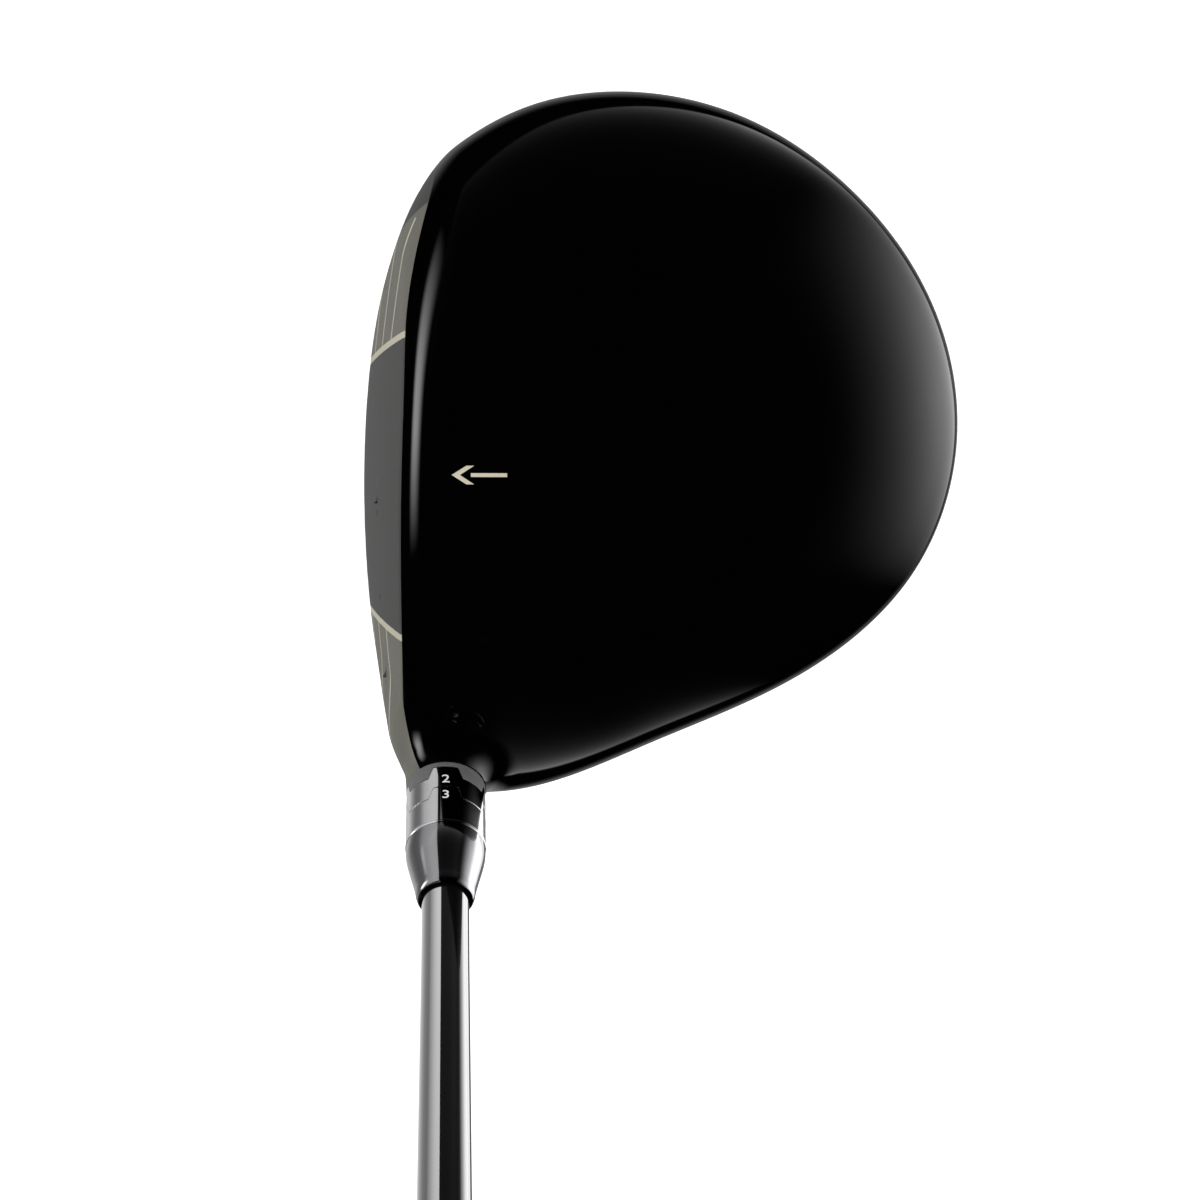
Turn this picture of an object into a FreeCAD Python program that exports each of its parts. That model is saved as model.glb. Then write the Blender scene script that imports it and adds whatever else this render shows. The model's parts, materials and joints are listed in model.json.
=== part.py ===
"""Adjustable golf driver, held at address: sole on the ground, face towards -Y, heel and grip towards +X.

The origin is the middle of the flat land on the sole. Lengths are in millimetres and angles in degrees.
Pieces on the shaft are drawn upright and then leaned to the lie angle: their own Z is the distance along
the shaft axis, counted from the point where that axis meets the ground.
"""

import FreeCAD, Part

import math
import os

import Sketcher

Vector = FreeCAD.Vector

SIZES = {
    # club
    "lie_angle": 58.5,
    "shaft_ground_x": 28.0,
    "shaft_ground_y": -25.0,
    "club_length": 1155.7,
    # head form
    "loft_angle": 10.5,
    "face_radius": 305.0,
    "face_middle_x": 7.0,
    "face_middle_y": -38.5,
    "face_middle_z": 29.0,
    "face_edge_round": 5.0,
    "rim_height": 28.5,
    "rim_rise_to_heel": 0.03,
    "rim_fall_to_back": 0.03,
    "crown_rise": 29.6,
    "crown_centre_x": -4.0,
    "crown_centre_y": -12.0,
    "sole_drop": 29.1,
    "sole_centre_x": -3.0,
    "sole_centre_y": 4.0,
    # head walls
    "body_wall": 1.5,
    "face_wall": 3.0,
    "crown_wall": 1.1,
    "bond_gap": 0.2,
    "ledge_wall": 1.0,
    "ledge_width": 7.0,
    "ledge_root": 3.0,
    "crown_seam_above_rim": 4.5,
    "crown_seam_behind_face": 12.0,
    "crown_seam_from_shaft": 17.0,
    # hosel, along the shaft axis
    "hosel_top": 60.0,
    "hosel_tube": 7.4,
    "hosel_bore": 5.42,
    "bore_floor": 28.0,
    "seat_floor": 25.0,
    "seat_hole": 2.8,
    "port_bore": 5.6,
    "port_end": 19.2,
    "head_pocket": 4.9,
    # hosel teeth
    "tooth_depth": 2.6,
    "tooth_tip_width": 4.6,
    "tooth_root_width": 6.4,
    "tooth_play": 0.1,
    # hosel screw
    "screw_head_bottom": 19.6,
    "screw_head_top": 23.7,
    "screw_head": 4.2,
    "screw_shank": 2.45,
    "screw_top": 40.5,
    "washer_outer": 4.7,
    "washer_inner": 2.7,
    "retainer_bottom": 28.2,
    "retainer_top": 29.5,
    "retainer_outer": 4.4,
    "drive_depth": 2.6,
    "drive_core": 1.55,
    "drive_lobe": 0.55,
    "drive_lobe_circle": 1.55,
    # adapter
    "sleeve_bottom": 30.0,
    "sleeve_barrel": 5.37,
    "sleeve_thread": 2.55,
    "shaft_pocket": 42.5,
    "sleeve_bore": 4.35,
    "ring_top": 65.4,
    "ring_bore": 5.45,
    "collar": 7.45,
    "sleeve_top": 71.4,
    "keeper_bottom": 56.0,
    "keeper_top": 57.4,
    "keeper_groove": 4.9,
    # ferrule
    "trim_top": 71.8,
    "trim": 7.42,
    "ferrule_top": 84.5,
    "ferrule_shoulder": 7.35,
    "ferrule_nose": 5.6,
    "ferrule_bore": 4.38,
    "ferrule_recess": 5.0,
    "recess_depth": 1.6,
    # shaft
    "shaft_tip": 43.0,
    "tip_radius": 4.3,
    "tip_bore": 2.4,
    "tip_end": 100.0,
    "butt_taper_end": 950.0,
    "butt_radius": 7.6,
    "butt_bore": 6.5,
    "shaft_end": 1150.0,
    "plug_length": 9.0,
    # grip
    "grip_mouth": 888.0,
    "mouth_radius": 9.4,
    "tape_start": 893.0,
    "tape_wall": 0.2,
    "mouth_shaft_radius": 7.35,
    "grip_middle": 1060.0,
    "middle_radius": 11.4,
    "grip_butt": 13.3,
    "cap_edge": 1.6,
    "vent": 1.5,
    # rear weight
    "weight_x": -9.0,
    "weight_y": 57.0,
    "weight_z": 9.4,
    "weight_angle": 27.0,
    "weight_length": 25.0,
    "weight_width": 11.6,
    "weight_depth": 5.4,
    "weight_play": 0.1,
    "weight_wall": 2.0,
    "weight_screw_head": 4.1,
    "weight_screw_head_height": 3.0,
    "weight_screw_sunk": 0.8,
    "weight_screw_length": 9.0,
    "insert_outer": 3.6,
    "insert_length": 6.5,
    "post_wall": 1.4,
    # damping glue
    "glue_x": -44.0,
    "glue_y": 14.0,
    "glue_z": -14.0,
    "glue_radius": 26.0,
}

# The widest outline of the head seen from above, toe at -X. The face cuts off its front.
RIM_OUTLINE = (
    (-9, 75.2), (-36, 68.7), (-57, 52), (-69.5, 32),
    (-74, 8), (-71.5, -8), (-63.5, -23), (-52, -36),
    (-30, -58.5), (2, -67), (36, -59), (57, -37),
    (61.5, -14), (52.2, 15), (39.2, 44), (18.2, 67.3),
)
# How full the head is between its rim and its middle: 2 is an ellipse, more is squarer.
CROWN_PLAN_POWER, CROWN_HEIGHT_POWER = 2.25, 1.85
SOLE_PLAN_POWER, SOLE_HEIGHT_POWER = 2.0, 1.5
# Radius and height of the neck, from the screw port up to the top of the hosel.
NECK = (
    (7.3, 17), (8.2, 20), (9.7, 24), (11.1, 29), (11.5, 34),
    (10.6, 39.5), (9.2, 45), (8.1, 51), (7.6, 56), (7.5, 60),
)
RINGS = 8
RING_POINTS = 40
CAP_SHARE = 0.06  # the size of the last ring, against the rim's
FAR = 400.0  # larger than the head, for the tools that cut it

doc = FreeCAD.newDocument("golf_driver")
sheet = doc.addObject("Spreadsheet::Sheet", "sizes")
for row, (alias, value) in enumerate(SIZES.items(), start=1):
    sheet.set(f"A{row}", alias)
    sheet.set(f"B{row}", str(value))
    sheet.setAlias(f"B{row}", alias)
doc.recompute()
parts = []  # the objects that are written out


def size(alias):
    """A driving size, read from the spreadsheet."""
    return float(sheet.get(alias))


def keep(piece, label):
    """Names a piece and marks it for writing out."""
    piece.Label = label
    parts.append(piece)
    return piece


# ---------------------------------------------------------------- pieces on the shaft axis


def lean(piece):
    """Puts a piece drawn upright onto the leaning shaft axis."""
    piece.Placement = FreeCAD.Placement(Vector(), FreeCAD.Rotation(Vector(0, 1, 0), 30))
    piece.setExpression("Placement.Base.x", "sizes.shaft_ground_x")
    piece.setExpression("Placement.Base.y", "sizes.shaft_ground_y")
    piece.setExpression("Placement.Rotation.Angle", "(90 - sizes.lie_angle) * 1 deg")


def origin_plane(body, role):
    return next(f for f in body.Origin.OriginFeatures if f.Role == role)


def new_sketch(body, name, role):
    sketch = body.newObject("Sketcher::SketchObject", name)
    sketch.AttachmentSupport = (origin_plane(body, role), [""])
    sketch.MapMode = "FlatFace"
    return sketch


def turned(name, profile, leaning=True):
    """A body of revolution about its own Z. The profile is a closed loop of (radius, height) expressions,
    and a radius of None is a point on the axis."""
    body = doc.addObject("PartDesign::Body", name)
    sketch = new_sketch(body, name + "_profile", "XZ_Plane")
    count = len(profile)
    rough = [Vector(0 if radius is None else 5 + i, 20 + 3 * i, 0) for i, (radius, _) in enumerate(profile)]
    for i in range(count):
        sketch.addGeometry(Part.LineSegment(rough[i], rough[(i + 1) % count]), False)
    for i in range(count):
        sketch.addConstraint(Sketcher.Constraint("Coincident", i, 2, (i + 1) % count, 1))
    for i, (radius, height) in enumerate(profile):
        if radius is None:
            sketch.addConstraint(Sketcher.Constraint("PointOnObject", i, 1, -2))
        else:
            at = sketch.addConstraint(Sketcher.Constraint("DistanceX", -1, 1, i, 1, rough[i].x))
            sketch.setExpression(f"Constraints[{at}]", radius)
        at = sketch.addConstraint(Sketcher.Constraint("DistanceY", -1, 1, i, 1, rough[i].y))
        sketch.setExpression(f"Constraints[{at}]", height)
    turn = body.newObject("PartDesign::Revolution", name + "_turned")
    turn.Profile = sketch
    turn.ReferenceAxis = (sketch, ["V_Axis"])
    turn.Angle = 360
    if leaning:
        lean(body)
    doc.recompute()
    return body


def s(text):
    """Adds the sheet's name to each word of an expression that is one of its aliases."""
    words = text.split(" ")
    return " ".join("sizes." + word if word in SIZES else word for word in words)


def tube(name, loops):
    return turned(name, [(None if radius is None else s(radius), s(height)) for radius, height in loops])


def add_drive(body, floor, up=1):
    """Cuts a six-lobed driver socket into the screw head whose outer face is at this height."""
    before = body.Shape.Volume
    core = new_sketch(body, body.Name + "_drive", "XY_Plane")
    core.AttachmentOffset = FreeCAD.Placement(Vector(0, 0, 1), FreeCAD.Rotation())
    core.setExpression("AttachmentOffset.Base.z", floor)
    circle = core.addGeometry(Part.Circle(Vector(), Vector(0, 0, 1), 1.5), False)
    core.addConstraint(Sketcher.Constraint("Coincident", circle, 3, -1, 1))
    at = core.addConstraint(Sketcher.Constraint("Radius", circle, 1.5))
    core.setExpression(f"Constraints[{at}]", "sizes.drive_core")
    pocket = body.newObject("PartDesign::Pocket", body.Name + "_drive_core")
    pocket.Profile = core
    pocket.Type = 0
    pocket.Length = 1
    pocket.setExpression("Length", "sizes.drive_depth")
    pocket.Reversed = up > 0
    doc.recompute()
    lobe = new_sketch(body, body.Name + "_lobe", "XY_Plane")
    lobe.AttachmentOffset = FreeCAD.Placement(Vector(0, 0, 1), FreeCAD.Rotation())
    lobe.setExpression("AttachmentOffset.Base.z", floor)
    circle = lobe.addGeometry(Part.Circle(Vector(1.5, 0, 0), Vector(0, 0, 1), 0.5), False)
    lobe.addConstraint(Sketcher.Constraint("PointOnObject", circle, 3, -1))
    at = lobe.addConstraint(Sketcher.Constraint("DistanceX", -1, 1, circle, 3, 1.5))
    lobe.setExpression(f"Constraints[{at}]", "sizes.drive_lobe_circle")
    at = lobe.addConstraint(Sketcher.Constraint("Radius", circle, 0.5))
    lobe.setExpression(f"Constraints[{at}]", "sizes.drive_lobe")
    notch = body.newObject("PartDesign::Pocket", body.Name + "_drive_lobe")
    notch.Profile = lobe
    notch.Type = 0
    notch.Length = 1
    notch.setExpression("Length", "sizes.drive_depth")
    notch.Reversed = up > 0
    doc.recompute()
    ring = body.newObject("PartDesign::PolarPattern", body.Name + "_drive_lobes")
    ring.Originals = [notch]
    ring.Axis = (lobe, ["N_Axis"])
    ring.Angle = 360
    ring.Occurrences = 6
    body.Tip = ring
    doc.recompute()
    if body.Shape.Volume > before - 5:
        raise RuntimeError(f"the driver socket of {body.Name} cuts nothing")


def hosel_screw():
    body = tube("hosel_screw", [
        (None, "screw_head_bottom"), ("screw_head", "screw_head_bottom"), ("screw_head", "screw_head_top"),
        ("screw_shank", "screw_head_top"), ("screw_shank", "screw_top"), (None, "screw_top"),
    ])
    add_drive(body, "sizes.screw_head_bottom")
    return keep(body, "hosel_screw")


def shaft_pieces():
    """The rings, sleeve, ferrule, shaft and grip, from the ground end up."""
    keep(tube("hosel_washer", [
        ("washer_inner", "screw_head_top"), ("washer_outer", "screw_head_top"),
        ("washer_outer", "seat_floor"), ("washer_inner", "seat_floor"),
    ]), "hosel_washer")
    keep(tube("screw_retainer", [
        ("screw_shank", "retainer_bottom"), ("retainer_outer", "retainer_bottom"),
        ("retainer_outer", "retainer_top"), ("screw_shank", "retainer_top"),
    ]), "screw_retainer")
    keep(tube("adapter_sleeve", [
        ("sleeve_thread", "sleeve_bottom"), ("sleeve_barrel", "sleeve_bottom"),
        ("sleeve_barrel", "keeper_bottom"), ("keeper_groove", "keeper_bottom"),
        ("keeper_groove", "keeper_top"), ("sleeve_barrel", "keeper_top"),
        ("sleeve_barrel", "ring_top"), ("collar", "ring_top"),
        ("collar", "sleeve_top"), ("sleeve_bore", "sleeve_top"),
        ("sleeve_bore", "shaft_pocket"), ("sleeve_thread", "shaft_pocket"),
    ]), "adapter_sleeve")
    keep(tube("ring_keeper", [
        ("keeper_groove", "keeper_bottom"), ("sleeve_barrel", "keeper_bottom"),
        ("sleeve_barrel", "keeper_top"), ("keeper_groove", "keeper_top"),
    ]), "ring_keeper")
    keep(tube("ferrule_trim_ring", [
        ("ferrule_bore", "sleeve_top"), ("trim", "sleeve_top"),
        ("trim", "trim_top"), ("ferrule_bore", "trim_top"),
    ]), "ferrule_trim_ring")
    keep(tube("ferrule", [
        ("ferrule_bore", "trim_top"), ("ferrule_shoulder", "trim_top"),
        ("ferrule_shoulder", "trim_top + 2.6"), ("ferrule_shoulder - 0.4", "trim_top + 5"),
        ("ferrule_nose + 0.7", "ferrule_top - 4.2"), ("ferrule_nose", "ferrule_top - 0.6"),
        ("ferrule_nose - 0.3", "ferrule_top"), ("ferrule_recess", "ferrule_top"),
        ("ferrule_recess", "ferrule_top - recess_depth"), ("ferrule_bore", "ferrule_top - recess_depth"),
    ]), "ferrule")
    keep(tube("shaft_tip_plug", [
        (None, "shaft_tip"), ("tip_bore - 0.05", "shaft_tip"),
        ("tip_bore - 0.05", "shaft_tip + plug_length"), (None, "shaft_tip + plug_length"),
    ]), "shaft_tip_plug")
    keep(tube("shaft", [
        ("tip_bore", "shaft_tip"), ("tip_radius", "shaft_tip"), ("tip_radius", "tip_end"),
        ("butt_radius", "butt_taper_end"), ("butt_radius", "shaft_end"),
        ("butt_bore", "shaft_end"), ("butt_bore", "butt_taper_end"),
        ("tip_bore", "shaft_tip + plug_length + 1"),
    ]), "shaft")
    keep(tube("grip_tape", [
        ("mouth_shaft_radius + 0.05", "tape_start"),
        ("mouth_shaft_radius + 0.05 + tape_wall", "tape_start"),
        ("butt_radius + 0.03 + tape_wall", "butt_taper_end"), ("butt_radius + 0.03 + tape_wall", "shaft_end"),
        ("butt_radius + 0.03", "shaft_end"), ("butt_radius + 0.03", "butt_taper_end"),
    ]), "grip_tape")
    keep(tube("grip", [
        ("mouth_shaft_radius + 0.1 + tape_wall", "grip_mouth"), ("mouth_radius", "grip_mouth"),
        ("mouth_radius + 0.4", "grip_mouth + 6"), ("middle_radius", "grip_middle"),
        ("grip_butt - 0.5", "shaft_end - 30"), ("grip_butt", "shaft_end - 4"),
        ("grip_butt", "shaft_end"), ("butt_radius + 0.08 + tape_wall", "shaft_end"),
        ("butt_radius + 0.08 + tape_wall", "butt_taper_end"),
    ]), "grip")
    keep(tube("grip_end_cap", [
        ("vent", "shaft_end"), ("grip_butt", "shaft_end"), ("grip_butt", "club_length - cap_edge"),
        ("grip_butt - cap_edge", "club_length"), ("vent", "club_length"),
    ]), "grip_end_cap")


def tooth_bar(name, turn):
    """A bar across the shaft axis whose two ends are a pair of teeth. It is narrower at the tips, below."""
    bar = doc.addObject("Part::Wedge", name)
    bar.Ymin = 0
    for side, sign in (("min", "-"), ("max", "")):
        bar.setExpression(f"X{side}", f"{sign}(sizes.tooth_tip_width / 2)")
        bar.setExpression(f"X2{side}", f"{sign}(sizes.tooth_root_width / 2)")
        bar.setExpression(f"Z{side}", f"{sign}(sizes.collar * 2)")
        bar.setExpression(f"Z2{side}", f"{sign}(sizes.collar * 2)")
    bar.setExpression("Ymax", "sizes.tooth_depth")
    stand = FreeCAD.Rotation(Vector(1, 0, 0), 90)
    bar.Placement = FreeCAD.Placement(Vector(0, 0, 1), FreeCAD.Rotation(Vector(0, 0, 1), turn) * stand)
    bar.setExpression("Placement.Base.z", "sizes.hosel_top - sizes.tooth_depth")
    return bar


def cylinder(name, radius, bottom, top):
    """An upright Part::Cylinder between two heights, all three given as expressions."""
    rod = doc.addObject("Part::Cylinder", name)
    rod.setExpression("Radius", s(radius))
    rod.setExpression("Height", f"{s(top)} - ({s(bottom)})")
    rod.setExpression("Placement.Base.z", s(bottom))
    return rod


def joined(kind, name, base, tool):
    result = doc.addObject(kind, name)
    result.Base = base
    result.Tool = tool
    return result


def adapter_ring():
    """The ring between the hosel and the sleeve: a plain collar with four teeth on its lower side."""
    outer = cylinder("ring_outer", "collar", "hosel_top", "ring_top")
    skirt = cylinder("ring_teeth_outer", "collar", "hosel_top - tooth_depth", "hosel_top")
    bore = cylinder("ring_hole", "ring_bore", "hosel_top - tooth_depth - 1", "ring_top + 1")
    bars = joined("Part::Fuse", "ring_bars", tooth_bar("ring_bar_a", 0), tooth_bar("ring_bar_b", 90))
    teeth = joined("Part::Common", "ring_teeth", skirt, bars)
    solid = joined("Part::Fuse", "ring_blank", outer, teeth)
    ring = joined("Part::Cut", "adapter_ring", solid, bore)
    lean(ring)
    doc.recompute()
    return keep(ring, "adapter_ring")


# ---------------------------------------------------------------- the head


def along_shaft():
    """The placement that leans a shape drawn upright on the shaft axis."""
    turn = FreeCAD.Rotation(Vector(0, 1, 0), 90 - size("lie_angle"))
    return FreeCAD.Placement(Vector(size("shaft_ground_x"), size("shaft_ground_y"), 0), turn)


def on_shaft(shape):
    leaned = shape.copy()
    leaned.Placement = along_shaft().multiply(leaned.Placement)
    return leaned


def rod(radius, bottom, top):
    """A cylinder on the shaft axis."""
    return on_shaft(Part.makeCylinder(radius, top - bottom, Vector(0, 0, bottom)))


def rim_z(x, y):
    return size("rim_height") + size("rim_rise_to_heel") * x - size("rim_fall_to_back") * y


def closed_curve(points):
    curve = Part.BSplineCurve()
    curve.interpolate(Points=points, PeriodicFlag=True)
    return curve


def head_form(inset):
    """The head before the face is cut: rings lofted from the middle of the sole, out to the rim and up
    to the middle of the crown. An inset gives the same form, smaller by that wall."""
    outline = closed_curve([
        Vector(x, y, 0) * (1 - inset / math.hypot(x, y)) for x, y in RIM_OUTLINE
    ])
    span = (outline.LastParameter - outline.FirstParameter) / RING_POINTS
    rim = [outline.value(outline.FirstParameter + span * i) for i in range(RING_POINTS)]
    rings = []

    def add_ring(middle, share, lift):
        points = []
        for p in rim:
            x = middle[0] + share * (p.x - middle[0])
            y = middle[1] + share * (p.y - middle[1])
            points.append(Vector(x, y, rim_z(x, y) + lift))
        rings.append(Part.Wire([closed_curve(points).toShape()]))

    drop = size("sole_drop") - inset
    rise = size("crown_rise") - inset
    sole_middle = (size("sole_centre_x"), size("sole_centre_y"))
    crown_middle = (size("crown_centre_x"), size("crown_centre_y"))
    quarter = math.pi / 2
    add_ring(sole_middle, CAP_SHARE, -drop)
    for i in range(1, RINGS + 1):
        angle = quarter * i / RINGS
        share = math.sin(angle) ** (2 / SOLE_PLAN_POWER)
        depth = max(math.cos(angle), 0) ** (2 / SOLE_HEIGHT_POWER) if i < RINGS else 0
        add_ring(sole_middle, share, -drop * depth)
    for i in range(RINGS - 1, 0, -1):
        angle = quarter * i / RINGS
        share = math.sin(angle) ** (2 / CROWN_PLAN_POWER)
        add_ring(crown_middle, share, rise * math.cos(angle) ** (2 / CROWN_HEIGHT_POWER))
    add_ring(crown_middle, CAP_SHARE, rise)
    return Part.makeLoft(rings, True, False)


def face_centre():
    loft = math.radians(size("loft_angle"))
    towards_ball = Vector(0, -math.cos(loft), math.sin(loft))
    middle = Vector(size("face_middle_x"), size("face_middle_y"), size("face_middle_z"))
    return middle - towards_ball * size("face_radius")


def face_ball(behind):
    """The ball whose skin is the face, which gives it bulge and roll, or a smaller one behind the face."""
    return Part.makeSphere(size("face_radius") - behind, face_centre())


def round_face_edge(form):
    """Rounds the edge where the face meets the crown, the sole and the toe."""
    middle = face_centre()

    def on_face(edge):
        at = edge.valueAt((edge.FirstParameter + edge.LastParameter) / 2)
        return abs((at - middle).Length - size("face_radius")) < 0.01

    return form.makeFillet(size("face_edge_round"), [e for e in form.Edges if on_face(e) and e.Length > 20])


def neck():
    """The hosel and its flare into the heel, down to the flat mouth of the screw port."""
    profile = Part.BSplineCurve()
    profile.interpolate([Vector(radius, 0, height) for radius, height in NECK])
    (foot, low), (head, high) = NECK[0], NECK[-1]
    corners = [Vector(head, 0, high), Vector(0, 0, high), Vector(0, 0, low), Vector(foot, 0, low)]
    wire = Part.Wire([profile.toShape()] + Part.makePolygon(corners).Edges)
    return on_shaft(Part.Face(wire).revolve(Vector(), Vector(0, 0, 1), 360))


def notch_bar(turn):
    """The cutter for two opposite notches in the top of the hosel, which take the ring's teeth."""
    play = size("tooth_play")
    tip = size("tooth_tip_width") / 2 + play
    root = size("tooth_root_width") / 2 + play
    top = size("hosel_top")
    bottom = top - size("tooth_depth") - play
    reach = 2 * size("collar")
    corners = ((-tip, bottom), (tip, bottom), (root, top), (root, top + 5), (-root, top + 5), (-root, top))
    points = [Vector(x, -reach, z) for x, z in corners]
    bar = Part.Face(Part.makePolygon(points + points[:1])).extrude(Vector(0, 2 * reach, 0))
    bar.rotate(Vector(), Vector(0, 0, 1), turn)
    return on_shaft(bar)


def above_rim(lift):
    """Everything higher than the rim plane moved up by lift."""
    block = Part.makeBox(FAR, FAR, FAR, Vector(-FAR / 2, -FAR / 2, 0))
    up = Vector(-size("rim_rise_to_heel"), size("rim_fall_to_back"), 1)
    block.Placement = FreeCAD.Placement(Vector(0, 0, size("rim_height") + lift), FreeCAD.Rotation(Vector(0, 0, 1), up))
    return block


def crown_zone(margin):
    """The part of the head that the crown covers, less a margin all round."""
    zone = above_rim(size("crown_seam_above_rim") + margin)
    zone = zone.common(face_ball(size("crown_seam_behind_face") + margin))
    return zone.cut(rod(size("crown_seam_from_shaft") + margin, 0, FAR))


def weight_frame(out):
    """The placement at the rear weight: local -Z points out of the sole, and out is how far it is moved that way."""
    turn = FreeCAD.Rotation(Vector(1, 0, 0), size("weight_angle"))
    outwards = turn.multVec(Vector(0, 0, -1))
    place = Vector(size("weight_x"), size("weight_y"), size("weight_z")) + outwards * out
    return FreeCAD.Placement(place, turn)


def placed(shape, placement):
    moved = shape.copy()
    moved.Placement = placement.multiply(moved.Placement)
    return moved


def slot_block(extra, bottom, top):
    """A block with round ends, as long and wide as the rear weight plus extra all round, along its local Z."""
    radius = size("weight_width") / 2 + extra
    half = (size("weight_length") - size("weight_width")) / 2
    middle = Part.makeBox(2 * half, 2 * radius, top - bottom, Vector(-half, -radius, bottom))
    ends = [Part.makeCylinder(radius, top - bottom, Vector(x, 0, bottom)) for x in (-half, half)]
    return placed(middle.fuse(ends).removeSplitter(), weight_frame(0))


def weight_rod(radius, bottom, top):
    return placed(Part.makeCylinder(radius, top - bottom, Vector(0, 0, bottom)), weight_frame(0))


def feature(label, shape):
    piece = doc.addObject("Part::Feature", label)
    piece.Shape = shape
    return keep(piece, label)


def head_pieces():
    ground = Part.makeBox(FAR, FAR, FAR, Vector(-FAR / 2, -FAR / 2, -FAR))
    core = round_face_edge(head_form(0).cut(ground).common(face_ball(0)))
    neck_form = neck()
    hollow = head_form(size("body_wall")).common(face_ball(size("face_wall")))
    above_ground = Part.makeBox(FAR, FAR, FAR, Vector(-FAR / 2, -FAR / 2, size("body_wall")))
    hollow = hollow.common(above_ground)

    face = core.cut(face_ball(size("face_wall"))).cut(neck_form)
    feature("face_plate", face)

    zone = crown_zone(0)
    under_crown = head_form(size("crown_wall"))
    crown = core.common(zone).cut(under_crown)
    feature("crown_shell", crown)

    lip = size("crown_wall") + size("bond_gap")
    ledge_top = head_form(lip)
    inner_zone = crown_zone(size("ledge_width"))
    bond = under_crown.common(zone).cut(ledge_top).cut(inner_zone).common(face_ball(size("face_wall")))
    feature("crown_bond", bond)

    ledge = ledge_top.cut(head_form(lip + size("ledge_wall"))).common(face_ball(size("face_wall")))
    ledge = ledge.common(above_rim(size("crown_seam_above_rim") - size("ledge_root"))).cut(inner_zone)

    body = core.common(face_ball(size("face_wall"))).cut(hollow).cut(zone)
    trimmed_neck = neck_form.cut(ground)
    tube_form = rod(size("hosel_tube"), 0, size("hosel_top")).common(core)
    body = body.fuse([trimmed_neck, tube_form, ledge.cut(rod(size("hosel_tube"), 0, FAR))])

    depth = size("weight_depth")
    boss = slot_block(size("weight_wall"), -12, depth + size("weight_wall")).common(core)
    post_end = depth + size("insert_length") + size("post_wall")
    post = weight_rod(size("insert_outer") + size("post_wall"), 0, post_end)
    body = body.fuse([boss, post])

    bores = [
        rod(size("hosel_bore"), size("bore_floor"), size("hosel_top") + 5),
        rod(size("seat_hole"), 0, size("hosel_top")),
        rod(size("head_pocket"), 0, size("seat_floor")),
        rod(size("port_bore"), -10, size("port_end")),
        slot_block(size("weight_play"), -30, depth),
        weight_rod(size("insert_outer"), depth - 1, depth + size("insert_length")),
    ]
    for bore in bores:
        body = body.cut(bore)
    for turn in (0, 90):
        body = body.cut(notch_bar(turn))
    feature("body_shell", body)

    weight = slot_block(0, -12, depth - size("weight_play")).common(core)
    seat = size("weight_screw_sunk")
    screw_head = size("weight_screw_head_height")
    weight = weight.cut(weight_rod(size("weight_screw_head") + 0.2, -12, seat + screw_head))
    weight = weight.cut(weight_rod(size("screw_shank") + 0.3, 0, depth))
    feature("rear_weight", weight)

    insert = weight_rod(size("insert_outer") - 0.02, depth + 0.1, depth + size("insert_length"))
    feature("weight_thread_insert", insert.cut(weight_rod(size("sleeve_thread"), 0, post_end)))

    glue = Part.makeSphere(size("glue_radius"), Vector(size("glue_x"), size("glue_y"), size("glue_z")))
    feature("damping_glue", glue.common(hollow))


def rear_weight_screw():
    """A cap screw with its head sunk in the rear weight, turned upright and then tipped onto the sole."""
    seat = "weight_screw_sunk"
    under_head = "weight_screw_sunk + weight_screw_head_height"
    end = "weight_screw_sunk + weight_screw_length"
    profile = [
        (None, seat), ("weight_screw_head", seat), ("weight_screw_head", under_head),
        ("screw_shank", under_head), ("screw_shank", end), (None, end),
    ]
    body = turned("rear_weight_screw", [(None if r is None else s(r), s(z)) for r, z in profile], leaning=False)
    add_drive(body, "sizes.weight_screw_sunk")
    body.Placement = weight_frame(0)
    body.setExpression("Placement.Base.x", "sizes.weight_x")
    body.setExpression("Placement.Base.y", "sizes.weight_y")
    body.setExpression("Placement.Base.z", "sizes.weight_z")
    body.setExpression("Placement.Rotation.Angle", "sizes.weight_angle * 1 deg")
    doc.recompute()
    return keep(body, "rear_weight_screw")


def write_out():
    doc.recompute()
    for item in doc.Objects:
        if "Invalid" in item.State or "Error" in item.State:
            raise RuntimeError(f"{item.Label} failed to compute: {item.State}")
    os.makedirs("parts", exist_ok=True)
    for piece in parts:
        shape = piece.Shape
        if shape.isNull() or not shape.isValid() or not shape.Solids:
            raise RuntimeError(f"{piece.Label} has no valid solid")
        print(f"{piece.Label:22s} {len(shape.Solids)} solid(s) {shape.Volume / 1000:9.3f} cm3")
        shape.exportStep(f"parts/{piece.Label}.step")


head_pieces()
hosel_screw()
adapter_ring()
shaft_pieces()
rear_weight_screw()
write_out()
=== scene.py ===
"""The looks of the golf driver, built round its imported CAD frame.

The head is worked in millimetres, as the CAD is, and each piece is scaled to metres as it is made.
Its skin is where one smooth field is zero: the lofted head form, cut by the face's ball and blended
into the hosel. The skin is then cut along the real seams into the crown, the face, the body and the
rear weight.
"""

import json
import math

import bmesh
import bpy
import numpy as np
from mathutils import Matrix, Vector


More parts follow.
